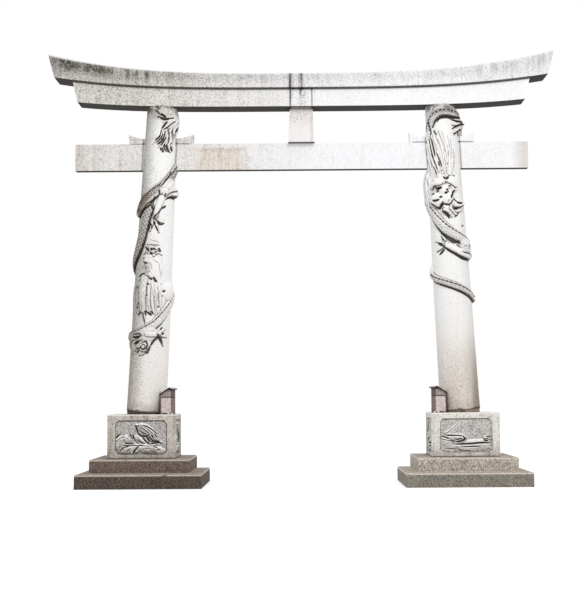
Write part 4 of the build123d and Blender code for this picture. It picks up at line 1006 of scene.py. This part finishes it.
rightDragon = {
    "carvedFrom": 2.42, "cut": 4.02,
    "coils": [
        {
            "path": [
                (-78, 4.02), (-110, 4.14), (-150, 4.32), (-190, 4.5), (-230, 4.78), (-258, 5.06),
                (-276, 5.26), (-304, 5.36), (-344, 5.4), (-374, 5.385), (-397, 5.32), (-412, 5.22),
                (-420, 5.1), (-423, 4.98), (-418, 4.84),
            ],
            "widths": (0.084, 0.088, 0.09, 0.092, 0.092, 0.088, 0.07, 0.04), "rise": 0.062,
            "fin": (0.1, 1), "dirt": 0.1, "dashed": 1.0,
        },
        {
            "path": [
                (-110, 4.12), (-78, 4.0), (-56, 3.89), (-34, 3.765), (-10, 3.645), (17, 3.565),
                (50, 3.49), (90, 3.42), (140, 3.32), (185, 3.2), (225, 3.11), (264, 3.03),
            ],
            "widths": (0.088, 0.078, 0.074, 0.072, 0.066, 0.056), "rise": 0.056, "fin": (0.82, 1),
            "dirt": 0.0, "net": 0.5, "dashed": 0.3,
        },
        {
            "path": [
                (-96, 3.03), (-68, 2.96), (-43, 2.915), (-12, 2.865), (17, 2.81), (46, 2.75), (82, 2.67),
                (120, 2.6), (165, 2.53), (205, 2.5),
            ],
            "widths": (0.052, 0.048, 0.047, 0.047, 0.04, 0.026, 0.008), "rise": 0.045, "fin": (0.8, 1),
            "dirt": 0.06, "dashed": 0.3,
        },
    ],
    "masses": [
        ((56, 5.19), (0.12, 0.1), 0.034, 0.2), ((-36, 4.78), (0.17, 0.38), 0.036, 0.2),
        ((-88, 4.27), (0.14, 0.27), 0.07, 0.0), ((10, 4.75), (0.16, 0.34), 0.016, 0.0),
        ((-28, 4.33), (0.15, 0.085), 0.07, 0.1), ((18, 4.31), (0.13, 0.12), 0.056, 0.3),
        ((-14, 4.24), (0.075, 0.15), 0.072, 0.3), ((-38, 4.09), (0.125, 0.125), 0.092, 0.3),
        ((-3, 4.12), (0.13, 0.115), 0.066, 0.2), ((38, 4.03), (0.12, 0.085), 0.05, -0.2),
        ((-6, 3.93), (0.1, 0.08), 0.04, -0.3), ((54, 3.44), (0.13, 0.105), 0.068, -0.3),
        ((-92, 3.08), (0.07, 0.09), 0.04, 0.0),
    ],
    "locks": [
        {
            "width": 0.028, "rise": 0.026, "taper": 0.6, "shade": 0.7,
            "paths": [
                [(84, 5.21), (72, 5.23), (56, 5.21), (36, 5.19)], [(84, 5.17), (74, 5.18), (42, 5.08)],
                [(84, 5.24), (74, 5.26), (60, 5.27), (40, 5.28)],
            ],
        },
        {
            "width": 0.024, "rise": 0.018, "taper": 0.55, "shade": 0.35,
            "paths": [
                [(-40, 5.13), (-31, 5.0), (-24, 4.86), (-20, 4.7), (-14, 4.52)],
                [(-48, 5.05), (-42, 4.9), (-36, 4.76), (-29, 4.62), (-24, 4.5)],
                [(-55, 4.98), (-51, 4.84), (-44, 4.66), (-36, 4.52), (-30, 4.42)],
                [(-62, 4.9), (-60, 4.7), (-52, 4.52), (-44, 4.38)],
                [(-30, 5.1), (-16, 4.95), (-6, 4.8), (-4, 4.62), (-8, 4.48)],
                [(-72, 4.74), (-84, 4.56), (-90, 4.36), (-86, 4.16)],
                [(-72, 4.62), (-72, 4.22), (-62, 4.06)],
                [(-88, 4.64), (-102, 4.46), (-108, 4.26), (-98, 4.1)],
                [(-14, 5.1), (-2, 4.95), (8, 4.8), (6, 4.62)],
            ],
        },
        {
            "width": 0.026, "rise": 0.022, "taper": 0.5, "shade": 0.3,
            "paths": [[(10, 4.46), (14, 4.66), (13, 4.88)], [(27, 4.46), (34, 4.64), (36, 4.82)]],
        },
        {
            "width": 0.036, "rise": 0.03, "taper": 0.3, "shade": 0.4,
            "paths": [
                [(-8, 4.36), (-20, 4.32), (-38, 4.32), (-56, 4.27)], [(2, 4.36), (12, 4.34), (24, 4.28)],
            ],
        },
        {
            "width": 0.026, "rise": 0.026, "taper": 0.5, "shade": 0.5,
            "paths": [
                [(20, 4.0), (36, 4.0), (54, 4.03)], [(-14, 3.94), (-2, 3.91), (8, 3.84)],
                [(6, 3.96), (16, 3.9), (26, 3.86)], [(24, 3.93), (38, 3.93), (52, 3.95)],
            ],
        },
        {
            "width": 0.08, "rise": 0.058, "taper": 0.45, "shade": 0.8,
            "paths": [[(74, 3.29), (52, 3.29), (26, 3.32), (0, 3.39), (-19, 3.44)]],
        },
        {
            "width": 0.026, "rise": 0.036, "taper": 0.7, "shade": 0.8,
            "paths": [
                [(-20, 3.5), (-25, 3.55), (-29, 3.61)], [(-23, 3.47), (-36, 3.48), (-54, 3.49)],
                [(-24, 3.43), (-34, 3.38), (-50, 3.34)],
            ],
        },
        {
            "width": 0.022, "rise": 0.022, "taper": 0.7, "shade": 0.6,
            "paths": [[(84, 2.7), (100, 2.76), (118, 2.78)], [(84, 2.64), (104, 2.62), (124, 2.66)]],
        },
    ],
    "cuts": {
        "bold": [
            [
                (-21, 5.23), (-15, 5.27), (-6, 5.3), (7, 5.31), (24, 5.31), (44, 5.3), (70, 5.3),
                (84, 5.27),
            ],
            [(-10, 5.28), (10, 5.3), (34, 5.3), (60, 5.29)],
            [(35, 5.13), (50, 5.17), (72, 5.21), (82, 5.22)], [(43, 5.04), (55, 5.09), (82, 5.14)],
            [(-10, 4.42), (-6, 4.39), (-2, 4.38), (6, 4.42)], [(-39, 4.28), (-33, 4.24), (-16, 4.26)],
            [(-34, 4.25), (-18, 4.25)], [(-57, 4.19), (-52, 4.16), (-39, 4.18)],
            [(-23, 4.11), (-18, 4.13)], [(-42, 4.08), (-38, 4.06), (-25, 4.08)],
            [(-52, 4.04), (-35, 3.96), (-29, 3.96), (-22, 3.99), (-16, 4.05)],
            [(8, 4.1), (12, 4.15), (17, 4.19), (23, 4.22)], [(-4, 4.22), (1, 4.23)],
            [(-9, 4.17), (-2, 4.19)], [(26, 4.05), (32, 4.03), (44, 4.04)],
            [(-21, 3.91), (-14, 3.9), (-2, 3.84), (0, 3.81)], [(-12, 3.89), (-5, 3.86), (-1, 3.83)],
            [(10, 3.97), (15, 3.95), (24, 3.95), (31, 3.96)],
            [(-54, 3.79), (-48, 3.72), (-26, 3.59), (-3, 3.49), (9, 3.46), (16, 3.46)],
            [(0, 3.48), (14, 3.46), (24, 3.48)], [(-43, 3.46), (-33, 3.43), (-22, 3.42)],
            [(-23, 3.37), (-30, 3.33), (-41, 3.29)],
            [(-23, 3.4), (-3, 3.33), (10, 3.3), (22, 3.26), (50, 3.22), (62, 3.23)],
            [(26, 3.25), (38, 3.23), (54, 3.22)],
        ],
        "medium": [
            [(-27, 4.77), (-17, 4.64), (-14, 4.56)], [(-39, 4.67), (-33, 4.61), (-28, 4.52)],
            [(36, 5.27), (47, 5.25), (69, 5.25), (82, 5.24)], [(-35, 5.11), (-23, 5.03)],
            [(-46, 5.01), (-41, 4.95), (-32, 4.72)], [(-53, 4.99), (-49, 4.93), (-44, 4.75), (-39, 4.67)],
            [(-41, 4.58), (-32, 4.45)], [(-23, 4.64), (-21, 4.58)], [(-50, 4.68), (-48, 4.59)],
            [(-48, 5.26), (-48, 5.16), (-46, 5.01)],
            [(-16, 4.03), (-5, 4.01), (3, 4.01), (9, 4.04), (15, 4.09)], [(3, 4.27), (10, 4.29)],
            [(-2, 4.19), (3, 4.2)], [(16, 4.1), (26, 4.05)], [(31, 3.96), (46, 4.0)],
            [(18, 3.83), (37, 3.9)], [(-22, 3.94), (-14, 3.97)], [(-30, 3.56), (-26, 3.52), (-19, 3.48)],
            [(19, 3.44), (27, 3.38)], [(30, 3.33), (44, 3.31), (62, 3.31), (76, 3.26)],
            [(54, 3.43), (70, 3.41), (84, 3.36)], [(44, 3.7), (56, 3.72)],
        ],
        "fine": [
            [(-22, 4.98), (-17, 4.94), (-12, 4.86)], [(-26, 4.9), (-24, 4.8)], [(0, 4.82), (-7, 4.76)],
            [(12, 4.8), (9, 4.72)], [(34, 4.81), (33, 4.66), (25, 4.53), (29, 4.49)],
            [(-18, 4.51), (-16, 4.45)], [(2, 4.57), (-1, 4.45)], [(-7, 5.08), (4, 4.89)],
            [(11, 5.04), (17, 4.94), (17, 4.82)], [(-5, 4.69), (1, 4.57)],
            [(23, 4.98), (26, 4.87), (21, 4.69)], [(3, 4.24), (12, 4.26)], [(-11, 4.34), (-14, 4.3)],
            [(-79, 4.49), (-63, 4.29)], [(-1, 4.05), (3, 4.08)], [(3, 4.0), (3, 3.97)],
            [(-54, 4.13), (-51, 4.09)], [(-74, 4.25), (-70, 4.15)],
            [(-14, 3.53), (-8, 3.47), (-10, 3.43)], [(38, 3.4), (48, 3.42)],
        ],
    },
    "holes": [(-27, 4.249, 0.017), (-33, 4.224, 0.018), (-20, 4.251, 0.014), (-33, 4.2, 0.012)],
    "shaded": [((-12, 3.9), (0.08, 0.05), 0.2), ((12, 3.47), (0.07, 0.03), 0.4)],
}


def onSheet(points, radius=None):
    # (across, height) pairs in metres; with a radius, across is in degrees and becomes radians * radius
    p = np.asarray(points, dtype=float).reshape(-1, 2)
    if radius is not None:
        p = np.stack([np.radians(p[:, 0]) * radius, p[:, 1]], axis=1)
    return p


def carveDesign(c, design, cuts, soft, radius=None):
    # coils, then masses, locks and shaded places over them, and last the cut strokes and holes; each is
    # a function of the distance to its path or its middle, given with its method
    for coil in design.get("coils", ()):
        extras = {key: coil[key] for key in ("scale", "net", "dashed") if key in coil}
        path = onSheet(coil["path"], radius)
        c.body(path, coil["widths"], coil["rise"], *coil["fin"], coil["dirt"], **extras)
    for centre, radii, rise, lean in design["masses"]:
        c.mass(onSheet(centre, radius)[0], radii, rise, lean, soft)
    for lock in design["locks"]:
        for path in lock["paths"]:
            c.lock(onSheet(path, radius), lock["width"], lock["rise"], lock["taper"], lock["shade"])
    for centre, radii, amount in design.get("shaded", ()):
        c.shaded(onSheet(centre, radius)[0], radii, amount)
    for weight, (width, depth, shadeAndDirt) in cuts.items():
        for path in design["cuts"][weight]:
            c.cut(onSheet(path, radius), width, depth, shadeAndDirt)
    for angle, height, size in design.get("holes", ()):
        c.hole(onSheet((angle, height), radius)[0], size)


def shaftPoints(side, angles, rows, lift):
    # radius = foot radius - taper * up - swelling * up squared + lift, and the axis leans in by lean * up;
    # the lowest rows follow the tilted mortar bed, from bedLow to bedHigh with the sine of the angle
    p = pillarForm
    a = angles[None, :]
    z = np.repeat(rows[:, None], len(angles), axis=1)
    up = z - gate["footZ"]
    radius = p["footRadius"] - p["taper"] * up - p["swelling"] * up ** 2 + lift
    middle = side * (gate["footX"] - gate["lean"] * up)
    bed = p["bedLow"] + (p["bedHigh"] - p["bedLow"]) * (side * np.sin(a) + 1) / 2
    z = z + bed * np.clip(1 - (rows[:, None] - gate["footZ"]) / p["bedFade"], 0, 1)
    return np.stack([middle + radius * np.sin(a), -radius * np.cos(a), z], axis=-1)


def gridNormals(points):
    # cross product of the two grid directions, wrapped round the shaft
    across = np.roll(points, -1, axis=1) - np.roll(points, 1, axis=1)
    upward = np.gradient(points, axis=0)
    n = np.cross(across, upward)
    return n / np.maximum(np.linalg.norm(n, axis=-1, keepdims=True), 1e-9)


def roundAngles(p):
    # angles round a shaft, finer over the front than over the back: steps = arc / step length
    front, whole, sheet = math.radians(p["frontHalf"]), 2 * math.pi, p["sheetRadius"]
    frontSteps = int(2 * front * sheet / p["frontStep"])
    backSteps = int((whole - 2 * front) * sheet / p["backStep"])
    angles = np.concatenate([
        np.linspace(-front, front, frontSteps, endpoint=False),
        np.linspace(front, whole - front, backSteps, endpoint=False),
    ])
    return np.sort((angles + math.pi) % whole - math.pi)


def buildPillar(side, name, dragon, standsFor):
    # the shaft's sheet is carved flat and wrapped round the leaning axis; it is parted in two pieces at
    # the height cut, and each piece is closed by a fan at both ends
    p = pillarForm
    angles = roundAngles(p)
    plain = np.arange(gate["footZ"], dragon["carvedFrom"], p["plainRow"])
    carved = np.arange(dragon["carvedFrom"], p["topZ"] + 1e-6, p["carvedRow"])
    rows = np.concatenate([plain, carved])
    rows[-1] = p["topZ"]
    c = Carving(angles * p["sheetRadius"], rows, turn=2 * math.pi * p["sheetRadius"])
    carveDesign(c, dragon, pillarCuts, p["melting"], p["sheetRadius"])
    fade = np.clip((rows - dragon["carvedFrom"]) / p["fade"], 0, 1)[:, None]
    c.lift = np.maximum(c.lift, -p["deepest"]) * fade
    c.shadeRelief(p["hollowDarkening"], p["slopeShade"])
    c.shadeAndDirt *= fade
    points = shaftPoints(side, angles, rows, c.lift)
    normals = gridNormals(points)
    cut = int(np.argmin(np.abs(rows - dragon["cut"])))
    k = len(angles)
    ring = np.arange(k)
    nextRing = (ring + 1) % k
    for part, (first, last) in {"Lower": (0, cut), "Upper": (cut, len(rows) - 1)}.items():
        block, n = points[first:last + 1], normals[first:last + 1]
        count = block.shape[0] * k
        lastRow = count - k
        bottom = np.stack([np.full(k, count), nextRing, ring], axis=-1)
        top = np.stack([np.full(k, count + 1), lastRow + ring, lastRow + nextRing], axis=-1)
        faces = [quadGrid(block.shape[0], k, True), bottom, top]
        allPoints = np.concatenate([block.reshape(-1, 3), [block[0].mean(0), block[-1].mean(0)]])
        allNormals = np.concatenate([n.reshape(-1, 3), [[0, 0, -1], [0, 0, 1]]])
        marks = {
            "shadeAndDirt": np.append(c.shadeAndDirt[first:last + 1], [0, 0]),
            "rub": np.append(c.rub[first:last + 1], [0, 0]),
        }
        stands = standsFor if part == "Lower" else ()
        putMesh(name + part, allPoints, faces, "pillar_granite", stands, marks, allNormals)
    print(name, "rows", len(rows), "columns", k)


def nodesOf(*starts):
    # the CAD nodes whose names begin with one of the given words
    return [n for n in frame["nodes"] if n.startswith(starts)]


buildPillar(-1, "leftPillar", leftDragon, nodesOf("left_dragon") + ["left_pillar"])
buildPillar(1, "rightPillar", rightDragon, nodesOf("right_dragon") + ["right_pillar"])

panelForm = {
    "width": 0.740, "height": 0.490, "low": 0.455, "cornerCut": 0.050, "depth": 0.018,
    "standing": 0.004,                         # how far the slab's front stands off the panel's floor
    "thinnest": 0.0006, "proudest": 0.001,     # least lift, and how far past the frame's face it may go
    "back": 0.012,                             # how far behind the floor the slab's back lies
    "edgeFade": 0.016, "melting": 0.008, "hollowDarkening": 60.0,
    "rimInset": 0.005, "rimWidth": 0.009, "topRim": 0.006, "topBand": 0.04,
    # the four faces of a plinth, each a quarter turn on from the last, with the size of its grid's cells
    "faces": {"Front": 0.0050, "Right": 0.0075, "Back": 0.0085, "Left": 0.0085},
}

panelCuts = {"fine": (0.007, 0.004, 0.35), "medium": (0.008, 0.009, 0.7), "bold": (0.010, 0.013, 1.0)}

# a path's points are (metres from the middle of the panel, height in metres)
birdPanel = {
    # the first is how strong the painted shade and highlights on the carving's slopes are, the second how
    # dark the painted shadow along the panel's rim is
    "reliefShading": 1.5, "rim": 1.0,
    "masses": [
        ((0.105, 0.775), (0.175, 0.078), 0.017, -0.7), ((0.2, 0.685), (0.07, 0.055), 0.012, -0.75),
        ((-0.062, 0.872), (0.028, 0.022), 0.014, 0.3), ((-0.19, 0.655), (0.085, 0.085), 0.015, 0.0),
        ((-0.305, 0.61), (0.07, 0.11), 0.015, 0.0), ((-0.03, 0.66), (0.09, 0.045), 0.012, -0.8),
        ((0.13, 0.53), (0.19, 0.066), 0.016, -0.05), ((-0.08, 0.53), (0.1, 0.055), 0.01, 0.7),
        ((0.22, 0.625), (0.09, 0.022), 0.01, 0.1), ((-0.22, 0.52), (0.12, 0.06), 0.012, 0.0),
        ((0.27, 0.5), (0.08, 0.05), 0.01, 0.2),
    ],
    "locks": [
        {
            "width": 0.01, "rise": 0.007, "taper": 0.3, "shade": 0.4,
            "paths": [
                [(0.075, 0.705), (0.095, 0.675), (0.12, 0.64)],
                [(0.1, 0.715), (0.12, 0.68), (0.145, 0.65)],
                [(0.125, 0.725), (0.15, 0.695), (0.17, 0.67)],
                [(0.17, 0.74), (0.19, 0.72), (0.21, 0.695)], [(0.2, 0.75), (0.22, 0.735), (0.24, 0.71)],
            ],
        },
        {
            "width": 0.014, "rise": 0.007, "taper": 0.2, "shade": 0.3,
            "paths": [
                [(-0.24, 0.6), (-0.05, 0.6), (0.1, 0.59), (0.26, 0.6)],
                [(-0.17, 0.735), (-0.125, 0.7), (-0.095, 0.66)],
                [(-0.34, 0.66), (-0.3, 0.71), (-0.24, 0.715)],
            ],
        },
    ],
    "cuts": {
        "bold": [
            [(-0.08, 0.875), (-0.045, 0.75), (0.0, 0.715), (0.04, 0.71), (0.085, 0.715), (0.12, 0.735)],
            [(0.02, 0.705), (0.055, 0.65), (0.105, 0.61), (0.13, 0.605)],
            [(0.13, 0.605), (0.195, 0.62), (0.28, 0.625)],
            [(-0.115, 0.46), (-0.085, 0.515), (-0.035, 0.575)],
            [(-0.35, 0.69), (-0.33, 0.72), (-0.3, 0.735)],
            [(0.14, 0.635), (0.195, 0.645), (0.265, 0.635)],
        ],
        "medium": [
            [(-0.17, 0.75), (-0.13, 0.705), (-0.085, 0.665)],
            [(-0.045, 0.665), (0.0, 0.62), (0.055, 0.615)], [(0.085, 0.7), (0.105, 0.665), (0.13, 0.64)],
            [(0.11, 0.71), (0.165, 0.65)], [(0.14, 0.73), (0.165, 0.705), (0.18, 0.68)],
            [(0.19, 0.745), (0.23, 0.7)], [(-0.225, 0.615), (-0.17, 0.61), (-0.105, 0.615)],
            [(0.17, 0.565), (0.195, 0.565), (0.23, 0.555)], [(0.23, 0.515), (0.255, 0.53)],
            [(-0.115, 0.735), (-0.1, 0.68)], [(-0.3, 0.5), (-0.24, 0.56), (-0.17, 0.575)],
            [(0.02, 0.87), (0.1, 0.845), (0.18, 0.79), (0.225, 0.74)],
        ],
        "fine": [
            [(0.025, 0.86), (0.095, 0.81), (0.17, 0.745)], [(0.0, 0.835), (0.07, 0.785), (0.125, 0.74)],
            [(0.07, 0.865), (0.14, 0.82), (0.21, 0.755)], [(-0.015, 0.79), (0.025, 0.76), (0.085, 0.74)],
            [(0.055, 0.535), (0.11, 0.55), (0.14, 0.535)], [(0.14, 0.515), (0.17, 0.495)],
            [(-0.06, 0.72), (-0.035, 0.68)], [(-0.2, 0.5), (-0.15, 0.53), (-0.14, 0.56)],
        ],
    },
}

cloudPanel = {
    # the first is how strong the painted shade and highlights on the carving's slopes are, the second how
    # dark the painted shadow along the panel's rim is
    "reliefShading": 1.9, "rim": 0.72,
    "masses": [
        ((-0.13, 0.66), (0.13, 0.055), 0.014, 0.0), ((0.06, 0.53), (0.28, 0.055), 0.005, 0.03),
        ((0.31, 0.66), (0.06, 0.035), 0.011, 0.0), ((0.13, 0.615), (0.22, 0.03), 0.01, 0.04),
    ],
    "locks": [
        {
            "width": 0.012, "rise": 0.01, "taper": 0.3, "shade": 0.5,
            "paths": [
                [
                    (-0.29, 0.72), (-0.18, 0.715), (-0.075, 0.715), (-0.02, 0.695), (0.0, 0.66),
                    (-0.02, 0.62), (-0.07, 0.6),
                ],
                [(0.33, 0.61), (0.2, 0.615), (0.05, 0.6), (-0.06, 0.59), (-0.16, 0.595)],
            ],
        },
        {
            "width": 0.01, "rise": 0.008, "taper": 0.5, "shade": 0.4,
            "paths": [
                [(-0.05, 0.655), (-0.075, 0.67), (-0.115, 0.67), (-0.13, 0.65)],
                [(0.245, 0.67), (0.29, 0.665), (0.345, 0.67)],
                [(-0.06, 0.55), (0.05, 0.555), (0.19, 0.56)],
                [(-0.34, 0.66), (-0.28, 0.645), (-0.22, 0.63)],
            ],
        },
        {
            "width": 0.012, "rise": 0.01, "taper": 0.5, "shade": 0.0,
            "paths": [[(-0.29, 0.735), (-0.18, 0.805), (-0.1, 0.905)]],
        },
    ],
    "cuts": {
        "bold": [
            [(-0.15, 0.575), (0.11, 0.585), (0.205, 0.595), (0.32, 0.595)],
            [(-0.045, 0.685), (-0.015, 0.66), (-0.03, 0.625), (-0.145, 0.61)],
            [(0.245, 0.64), (0.27, 0.625), (0.305, 0.625)],
        ],
        "medium": [
            [(-0.3, 0.705), (-0.2, 0.695), (-0.115, 0.7), (-0.06, 0.69)],
            [(-0.345, 0.69), (-0.24, 0.655)],
            [(-0.16, 0.65), (-0.115, 0.64), (-0.075, 0.655), (-0.065, 0.67)],
            [(-0.045, 0.54), (0.19, 0.545)], [(0.28, 0.68), (0.35, 0.685)],
            [(0.285, 0.655), (0.305, 0.655)],
        ],
        "fine": [
            [(-0.12, 0.495), (-0.035, 0.48), (0.065, 0.48)], [(-0.23, 0.62), (-0.185, 0.63)],
            [(-0.3, 0.52), (-0.2, 0.505), (-0.14, 0.51)],
        ],
    },
}


def slabFaces(rowCount, columns):
    # a front grid, the same grid turned over behind it, and a skirt between their outermost points
    count = rowCount * columns
    front = quadGrid(rowCount, columns, False)
    rim = np.concatenate([
        np.arange(columns),
        np.arange(1, rowCount) * columns + columns - 1,
        (rowCount - 1) * columns + np.arange(columns - 2, -1, -1),
        np.arange(rowCount - 2, 0, -1) * columns,
    ])
    nextRim = np.roll(rim, -1)
    skirt = np.stack([rim + count, nextRim + count, nextRim, rim], axis=-1)
    return [front, front[:, ::-1] + count, skirt]


def carvePanel(name, side, turn, design, cell, standsFor):
    # a slab whose front is the carving lifted off the panel's floor, and which sinks below it at the rim by
    # 3 t squared - 2 t cubed of the distance to the edge; turn is in quarter turns from the front
    p = panelForm
    columns = int(p["width"] / cell)
    rowCount = int(p["height"] / cell)
    u = np.linspace(-p["width"] / 2, p["width"] / 2, columns)
    z = np.linspace(p["low"], p["low"] + p["height"], rowCount)
    c = Carving(u, z)
    carveDesign(c, design, panelCuts, p["melting"])
    c.shadeRelief(p["hollowDarkening"], design["reliefShading"])
    across, upward = np.meshgrid(u, z - p["low"] - p["height"] / 2)
    fromSide, fromTop = p["width"] / 2 - np.abs(across), p["height"] / 2 - np.abs(upward)
    diagonal = p["width"] / 2 + p["height"] / 2 - p["cornerCut"] - np.abs(across) - np.abs(upward)
    toEdge = np.minimum(np.minimum(fromSide, fromTop), diagonal / math.sqrt(2))
    inside = np.clip(toEdge / p["edgeFade"], 0, 1)
    inside = inside * inside * (3 - 2 * inside)
    lift = np.clip(c.lift + p["standing"], p["thinnest"], p["depth"] + p["proudest"])
    lift = lift * inside - p["standing"] * (1 - inside)
    # a painted shadow along the panel's rim, wider under its top edge
    rimWidth = p["rimWidth"] + p["topRim"] * (p["height"] / 2 - upward < p["topBand"])
    rimShadow = design["rim"] * np.exp(-((toEdge - p["rimInset"]) / rimWidth) ** 2)
    shadeAndDirt = np.maximum(c.shadeAndDirt, rimShadow)
    panelFloor = gate["plinthFace"] - p["depth"]
    points = np.stack([across, -(panelFloor + lift), np.repeat(z[:, None], columns, axis=1)], axis=-1)
    backPoints = points.copy()
    backPoints[..., 1] = -(panelFloor - p["back"])
    angle = turn * math.pi / 2
    rotate = np.array([
        [math.cos(angle), -math.sin(angle), 0],
        [math.sin(angle), math.cos(angle), 0],
        [0, 0, 1],
    ])
    allPoints = np.concatenate([points.reshape(-1, 3), backPoints.reshape(-1, 3)]) @ rotate.T
    allPoints[:, 0] += side * gate["plinthX"]
    clean = np.zeros(rowCount * columns)
    marks = {"shadeAndDirt": np.append(shadeAndDirt, clean), "rub": np.append(c.rub, clean)}
    marks["panel"] = np.ones(len(allPoints))
    putMesh(name, allPoints, slabFaces(rowCount, columns), "plinth_granite", standsFor, marks)


for side, word, design in ((-1, "left", birdPanel), (1, "right", cloudPanel)):
    for turn, (face, cell) in enumerate(panelForm["faces"].items()):
        standsFor = nodesOf(word + "_plinth_relief") if face == "Front" else ()
        carvePanel(word + "Panel" + face, side, turn, design, cell, standsFor)
print("plinth panels carved")

studio = {
    "sky": 0.80, "skyColour": (0.97, 0.985, 1.0, 1.0),
    "backdrop": 1.0, "backdropColour": (1.0, 1.0, 1.0, 1.0),
    "floorHalf": 60.0, "floorColour": (0.80, 0.80, 0.80, 1.0), "floorGlow": 0.42,
    "lookAt": (0.0, 0.0, 3.0),
    "lamps": {
        "keyLamp": {"place": (4.0, -9.5, 13.0), "power": 530.0, "width": 5.0},
        "fillLamp": {"place": (-3.0, -14.0, 5.0), "power": 110.0, "width": 6.0},
    },
}


def studioFloor(s):
    # a square of plain grey that also glows where it is seen, to show white: grey + seen * glow
    half = s["floorHalf"]
    corners = [(-half, -half, 0), (half, -half, 0), (half, half, 0), (-half, half, 0)]
    mesh = bpy.data.meshes.new("studioFloor")
    mesh.from_pydata(corners, [], [(0, 1, 2, 3)])
    f = Finish("studioFloor")
    f.shader.inputs["Base Color"].default_value = s["floorColour"]
    f.shader.inputs["Roughness"].default_value = 0.9
    glow = f.node("ShaderNodeEmission", {}, {"Color": s["backdropColour"], "Strength": s["floorGlow"]})
    both = f.node("ShaderNodeAddShader", {}, {0: f.shader.outputs[0], 1: glow.outputs[0]})
    pick = f.node("ShaderNodeMixShader", {}, {0: f.seen(), 1: f.shader.outputs[0], 2: both.outputs[0]})
    f.tree.links.new(pick.outputs[0], f.output.inputs["Surface"])
    mesh.materials.append(f.material)
    floor = bpy.data.objects.new("studioFloor", mesh)
    bpy.context.scene.collection.objects.link(floor)


def studioSky(s):
    # backdrop * seen + sky * (1 - seen): the sky lights the stone and the backdrop shows behind it
    world = bpy.data.worlds.new("studioWorld")
    world.use_nodes = True
    bpy.context.scene.world = world
    w = Nodes(world.node_tree)
    sky = w.node("ShaderNodeBackground", {}, {"Color": s["skyColour"], "Strength": s["sky"]})
    backdrop = w.node("ShaderNodeBackground", {}, {"Color": s["backdropColour"], "Strength": s["backdrop"]})
    mix = w.node("ShaderNodeMixShader", {}, {0: w.seen(), 1: sky.outputs[0], 2: backdrop.outputs[0]})
    w.node("ShaderNodeOutputWorld", {}, {"Surface": mix.outputs[0]})


def studioLamp(name, place, power, width, target):
    # a square lamp whose beam, its own minus z, points from place to target
    data = bpy.data.lights.new(name, "AREA")
    data.energy = power
    data.shape = "SQUARE"
    data.size = width
    lamp = bpy.data.objects.new(name, data)
    bpy.context.scene.collection.objects.link(lamp)
    lamp.location = place
    lamp.rotation_euler = (Vector(target) - Vector(place)).to_track_quat("-Z", "Y").to_euler()


studioFloor(studio)
studioSky(studio)
for lampName, lamp in studio["lamps"].items():
    studioLamp(lampName, lamp["place"], lamp["power"], lamp["width"], studio["lookAt"])
bpy.context.scene.view_settings.view_transform = "Standard"
print("studio set")
